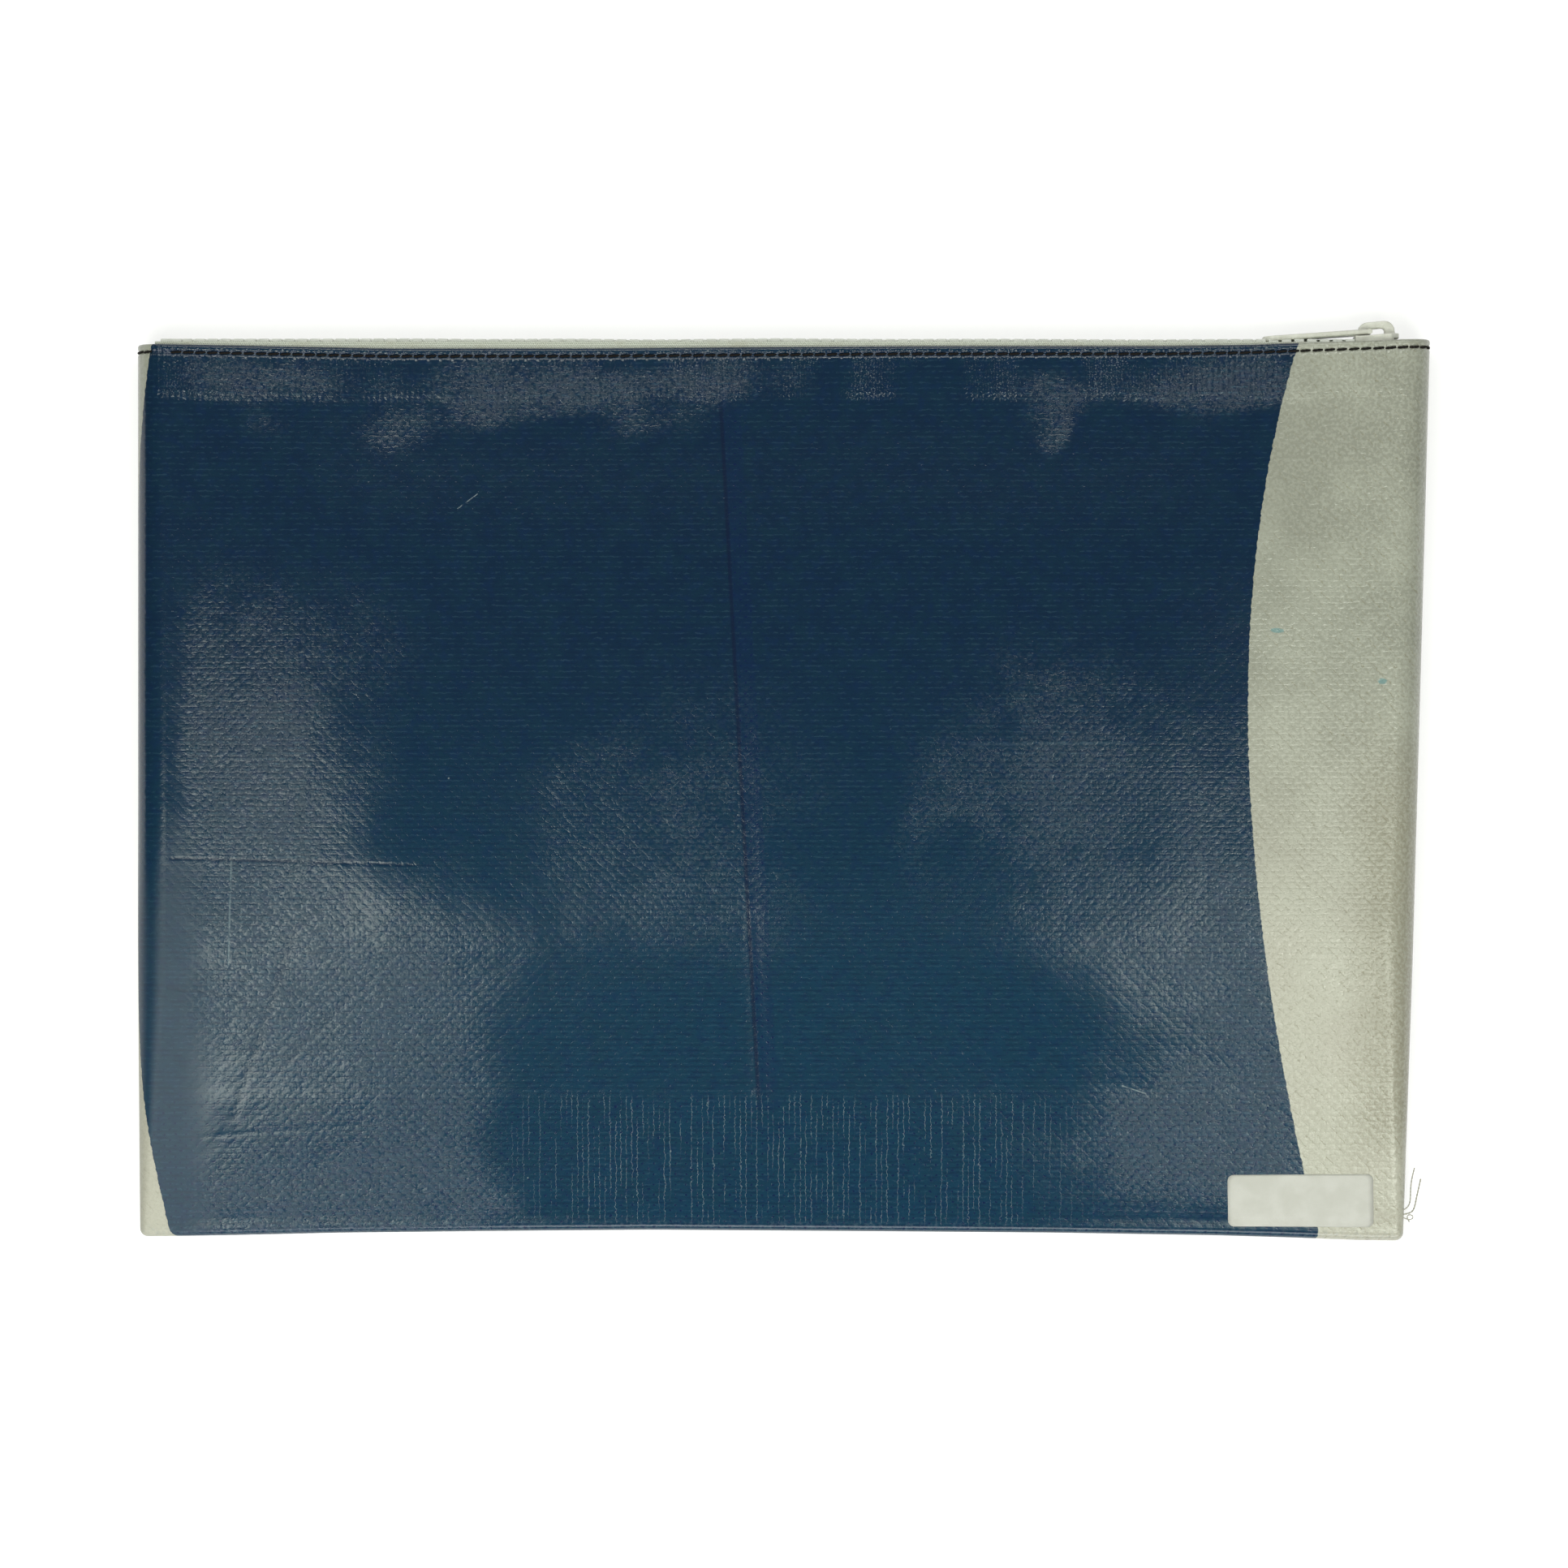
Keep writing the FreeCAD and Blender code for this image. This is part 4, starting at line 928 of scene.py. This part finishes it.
def make_zip():
    for node, bevel in (("teeth_front", 0.35), ("teeth_back", 0.35), ("bottom_stop", 0.4),
                        ("top_stop_front", 0.35), ("top_stop_back", 0.35)):
        copied(node, f"zip_{node}", TEETH, bevel, 3, move=follow_chain)
    for face in ("front", "back"):
        copied(f"zip_tape_{face}", f"zip_tape_knit_{face}", TAPE, 0.12, 2, move=follow_chain)


SLIDER_LOW, SLIDER_HIGH = node_box("slider_body")
FACE_BAND = 0.4                  # how far the slider's outer face reaches in from its top
FACE_LEAN, BRIDGE_LEAN, TAB_LEAN = 4.5, 5.5, 2.6   # degrees
TAB_PIVOT = (176.5, 138.65)      # the pull tab's hinge


def make_slider():
    middle = (SLIDER_LOW + SLIDER_HIGH) / 2

    def lean_face(p):
        """The outer face leans with the bridge, the channel stays level and clears the teeth."""
        if p.y > SLIDER_HIGH[1] - FACE_BAND:
            return Vector((p.x, p.y + math.radians(FACE_LEAN) * (p.x - middle[0]), p.z))
        return p

    copied("slider_body", "slider_casting", ENAMEL, 0.22, 2, "slider", lean_face)
    copied("slider_bail", "slider_bridge", ENAMEL, 0.15, 2, "slider",
           turned(middle, BRIDGE_LEAN))
    copied("pull_tab", "pull_tab_plate", ENAMEL, 0.2, 2, "puller",
           turned(TAB_PIVOT, TAB_LEAN))


# ---------------------------------------------------------------- label and loose threads
LABEL_LENGTH, LABEL_HEIGHT, LABEL_CORNER = 44.0, 15.6, 1.8
LABEL_TILT = 1.6                 # degrees
LABEL_RISE, LABEL_RIM_RISE, LABEL_GAP = 0.17, 0.10, 0.02   # over the sheet


def rounded_outline(length, height, corner, per_corner=8):
    points = []
    for cx, cy, start in ((1, 1, 0), (-1, 1, 90), (-1, -1, 180), (1, -1, 270)):
        for k in range(per_corner + 1):
            a = math.radians(start + 90 * k / per_corner)
            points.append((cx * (length / 2 - corner) + corner * math.cos(a),
                           cy * (height / 2 - corner) + corner * math.sin(a)))
    dense = []
    for (ax, ay), (bx, by) in zip(points, points[1:] + points[:1]):
        n = max(1, int(math.hypot(bx - ax, by - ay) / 2.0))
        dense += [(ax + (bx - ax) * i / n, ay + (by - ay) * i / n) for i in range(n)]
    return np.array(dense)


def make_label():
    low, high = node_box("label")
    middle = (low + high) / 2
    loop = rounded_outline(LABEL_LENGTH, LABEL_HEIGHT, LABEL_CORNER)
    turn = math.radians(LABEL_TILT)
    spin = np.array([[math.cos(turn), math.sin(turn)], [-math.sin(turn), math.cos(turn)]])
    rows = []
    for share in np.linspace(1, 0.06, 12):
        # each loop shrinks a hair less along the label than across it
        p = np.zeros((len(loop), 3))
        p[:, :2] = (loop * np.array([1 - (1 - share) * 0.999, share])) @ spin + middle[:2]
        p[:, 2] = front_z(p[:, 0], p[:, 1])
        rows.append(p)
    top = [r + np.array([0, 0, LABEL_RISE]) for r in rows]
    top[0] = rows[0] + np.array([0, 0, LABEL_RIM_RISE])
    under = [r + np.array([0, 0, LABEL_GAP]) for r in rows]
    grid = np.array(under[::-1] + top)
    n = len(loop)
    points = bowed(grid.reshape(-1, 3))
    faces = grid_faces(len(grid), n, True).tolist()
    faces += [list(range(n))[::-1], [(len(grid) - 1) * n + i for i in range(n)]]
    mesh_piece("label_blank", points, faces, LABEL, replaces=["label"])


# filaments where the side seam ends above the fold: radius, then points from their root
FILAMENTS = [
    (0.21, [(0, 0, 0), (1.2, 0.3, 0.4), (2.7, 0.6, 0.2), (3.6, 2.0, -0.4), (4.2, 5.0, -0.8),
            (4.9, 8.2, -0.6), (5.4, 10.8, 0.2)]),
    (0.18, [(0.2, 1.5, 0.3), (1.7, 2.2, 0.8), (2.4, 4.6, 0.6), (2.2, 8.6, 0.2), (2.9, 12.0, 0.6),
            (3.4, 14.2, 1.2)]),
    (0.15, [(0, -0.8, -0.2), (1.8, -1.8, 0.1), (3.2, -1.2, 0.3), (3.0, -0.2, 0.5), (1.6, 0.2, 0.5),
            (1.0, -0.8, 0.3), (2.0, -2.2, -0.2)]),
]
FRAY_Y = -128.0


def smooth_path(points):
    """Points along a smooth curve guided by a few given ones."""
    curve = bpy.data.curves.new("route", "CURVE")
    curve.dimensions = "3D"
    spline = curve.splines.new("NURBS")
    spline.points.add(len(points) - 1)
    for point, co in zip(spline.points, points):
        point.co = (*co, 1)
    spline.order_u, spline.use_endpoint_u, spline.resolution_u = 4, True, 8
    holder = bpy.data.objects.new("route", curve)
    sampled = bpy.data.meshes.new_from_object(holder)
    path = np.array([v.co for v in sampled.vertices])
    bpy.data.objects.remove(holder)
    bpy.data.curves.remove(curve)
    bpy.data.meshes.remove(sampled)
    return path


def make_frayed_threads():
    root = np.array([right_edge(FRAY_Y) - 0.4, FRAY_Y, 4.0])
    parts = []
    for radius, route in FILAMENTS:
        path = smooth_path([root + np.array(co) for co in route])
        parts.append(tube(path, radius, 8, 0.2, 3.0))
    points, faces = joined(parts)
    mesh_piece("frayed_threads", points, faces, PALE_THREAD, replaces=["seam_thread_tail"])


bag = make_tarp()
make_base_strip()
make_hem_stitches()
make_zip()
make_slider()
make_label()
make_frayed_threads()
for side in ("left", "right"):
    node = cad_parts[f"side_thread_{side}"]
    node.data.materials.clear()
    node.data.materials.append(BLACK_THREAD)


# ---------------------------------------------------------------- floor, light, camera
FLOOR_GLOW = 0.55
FLOOR_GAP = 0.0003               # metres; keeps the floor clear of the back panel


def make_floor():
    """A pale floor that glows only for the camera and in reflections."""
    bm = bmesh.new()
    bmesh.ops.create_grid(bm, x_segments=8, y_segments=8, size=3.0)
    mesh = bpy.data.meshes.new("floor")
    bm.to_mesh(mesh)
    bm.free()
    floor = link(bpy.data.objects.new("floor", mesh))
    floor.location = (0, 0, -FLOOR_GAP)
    material = bpy.data.materials.new("floor")
    material.use_nodes = True
    tree = material.node_tree
    tree.nodes.clear()
    out = tree.nodes.new("ShaderNodeOutputMaterial")
    diffuse = tree.nodes.new("ShaderNodeBsdfDiffuse")
    diffuse.inputs["Color"].default_value = (0.62, 0.62, 0.62, 1)
    glow = tree.nodes.new("ShaderNodeEmission")
    path = tree.nodes.new("ShaderNodeLightPath")

    def joined_value(operation, a, b):
        made = tree.nodes.new("ShaderNodeMath")
        made.operation = operation
        for socket, value in zip(made.inputs, (a, b)):
            if isinstance(value, bpy.types.NodeSocket):
                tree.links.new(value, socket)
            else:
                socket.default_value = value
        return made.outputs[0]

    mirrored = joined_value("MAXIMUM", path.outputs["Is Glossy Ray"], path.outputs["Is Transmission Ray"])
    seen = joined_value("MAXIMUM", path.outputs["Is Camera Ray"], mirrored)
    tree.links.new(joined_value("MULTIPLY", seen, FLOOR_GLOW), glow.inputs["Strength"])
    total = tree.nodes.new("ShaderNodeAddShader")
    tree.links.new(diffuse.outputs[0], total.inputs[0])
    tree.links.new(glow.outputs[0], total.inputs[1])
    tree.links.new(total.outputs[0], out.inputs["Surface"])
    mesh.materials.append(material)


SHEEN_TINT = (0.95, 1.0, 0.88)


def area_light(name, place, aim, size, power, tint=(1, 1, 1)):
    lamp = bpy.data.lights.new(name, "AREA")
    lamp.shape = "RECTANGLE"
    lamp.size, lamp.size_y = size
    lamp.energy = power
    lamp.color = tint
    obj = link(bpy.data.objects.new(name, lamp))
    obj.location = place
    obj.rotation_euler = (Vector(aim) - Vector(place)).to_track_quat("-Z", "Y").to_euler()


WORLD_LEVEL, BACKDROP_LEVEL = 0.07, 1.0   # what lights the bag, and what the camera sees


def make_world():
    world = bpy.data.worlds.new("studio")
    bpy.context.scene.world = world
    world.use_nodes = True
    tree = world.node_tree
    background = tree.nodes["Background"]
    path = tree.nodes.new("ShaderNodeLightPath")
    level = tree.nodes.new("ShaderNodeMapRange")
    tree.links.new(path.outputs["Is Camera Ray"], level.inputs["Value"])
    level.inputs["To Min"].default_value = WORLD_LEVEL
    level.inputs["To Max"].default_value = BACKDROP_LEVEL
    tree.links.new(level.outputs[0], background.inputs["Strength"])
    background.inputs["Color"].default_value = (1, 1, 1, 1)


FRAME_WIDTH = 0.4733             # what the picture takes in at the zip's height
CAMERA_HEIGHT, CAMERA_Y = 1.8, 0.0023
ZIP_HEIGHT = 0.0085
SENSOR_WIDTH = 36
make_floor()
make_world()
area_light("front_strip", (0, -0.66, 0.42), (0, -0.02, 0), (1.6, 0.30), 5.5)
area_light("rear_bank", (0, 0.84, 0.78), (0, 0, 0), (1.8, 0.75), 6.0)
area_light("sheen_left", (-0.43, -0.30, 1.0), (-0.12, -0.05, 0), (0.40, 0.40), 3.3, SHEEN_TINT)
area_light("sheen_right", (0.43, -0.30, 1.0), (0.1, -0.05, 0), (0.36, 0.40), 2.9, SHEEN_TINT)
area_light("sheen_top", (-0.05, 0.70, 1.10), (0, 0.12, 0), (0.80, 0.20), 3.2, SHEEN_TINT)
camera_data = bpy.data.cameras.new("camera")
camera_data.sensor_width = SENSOR_WIDTH
camera_data.lens = SENSOR_WIDTH * CAMERA_HEIGHT / FRAME_WIDTH
camera = link(bpy.data.objects.new("camera", camera_data))
camera.location = (0, CAMERA_Y, CAMERA_HEIGHT + ZIP_HEIGHT)
bpy.context.scene.camera = camera
bpy.context.scene.view_settings.view_transform = "Standard"
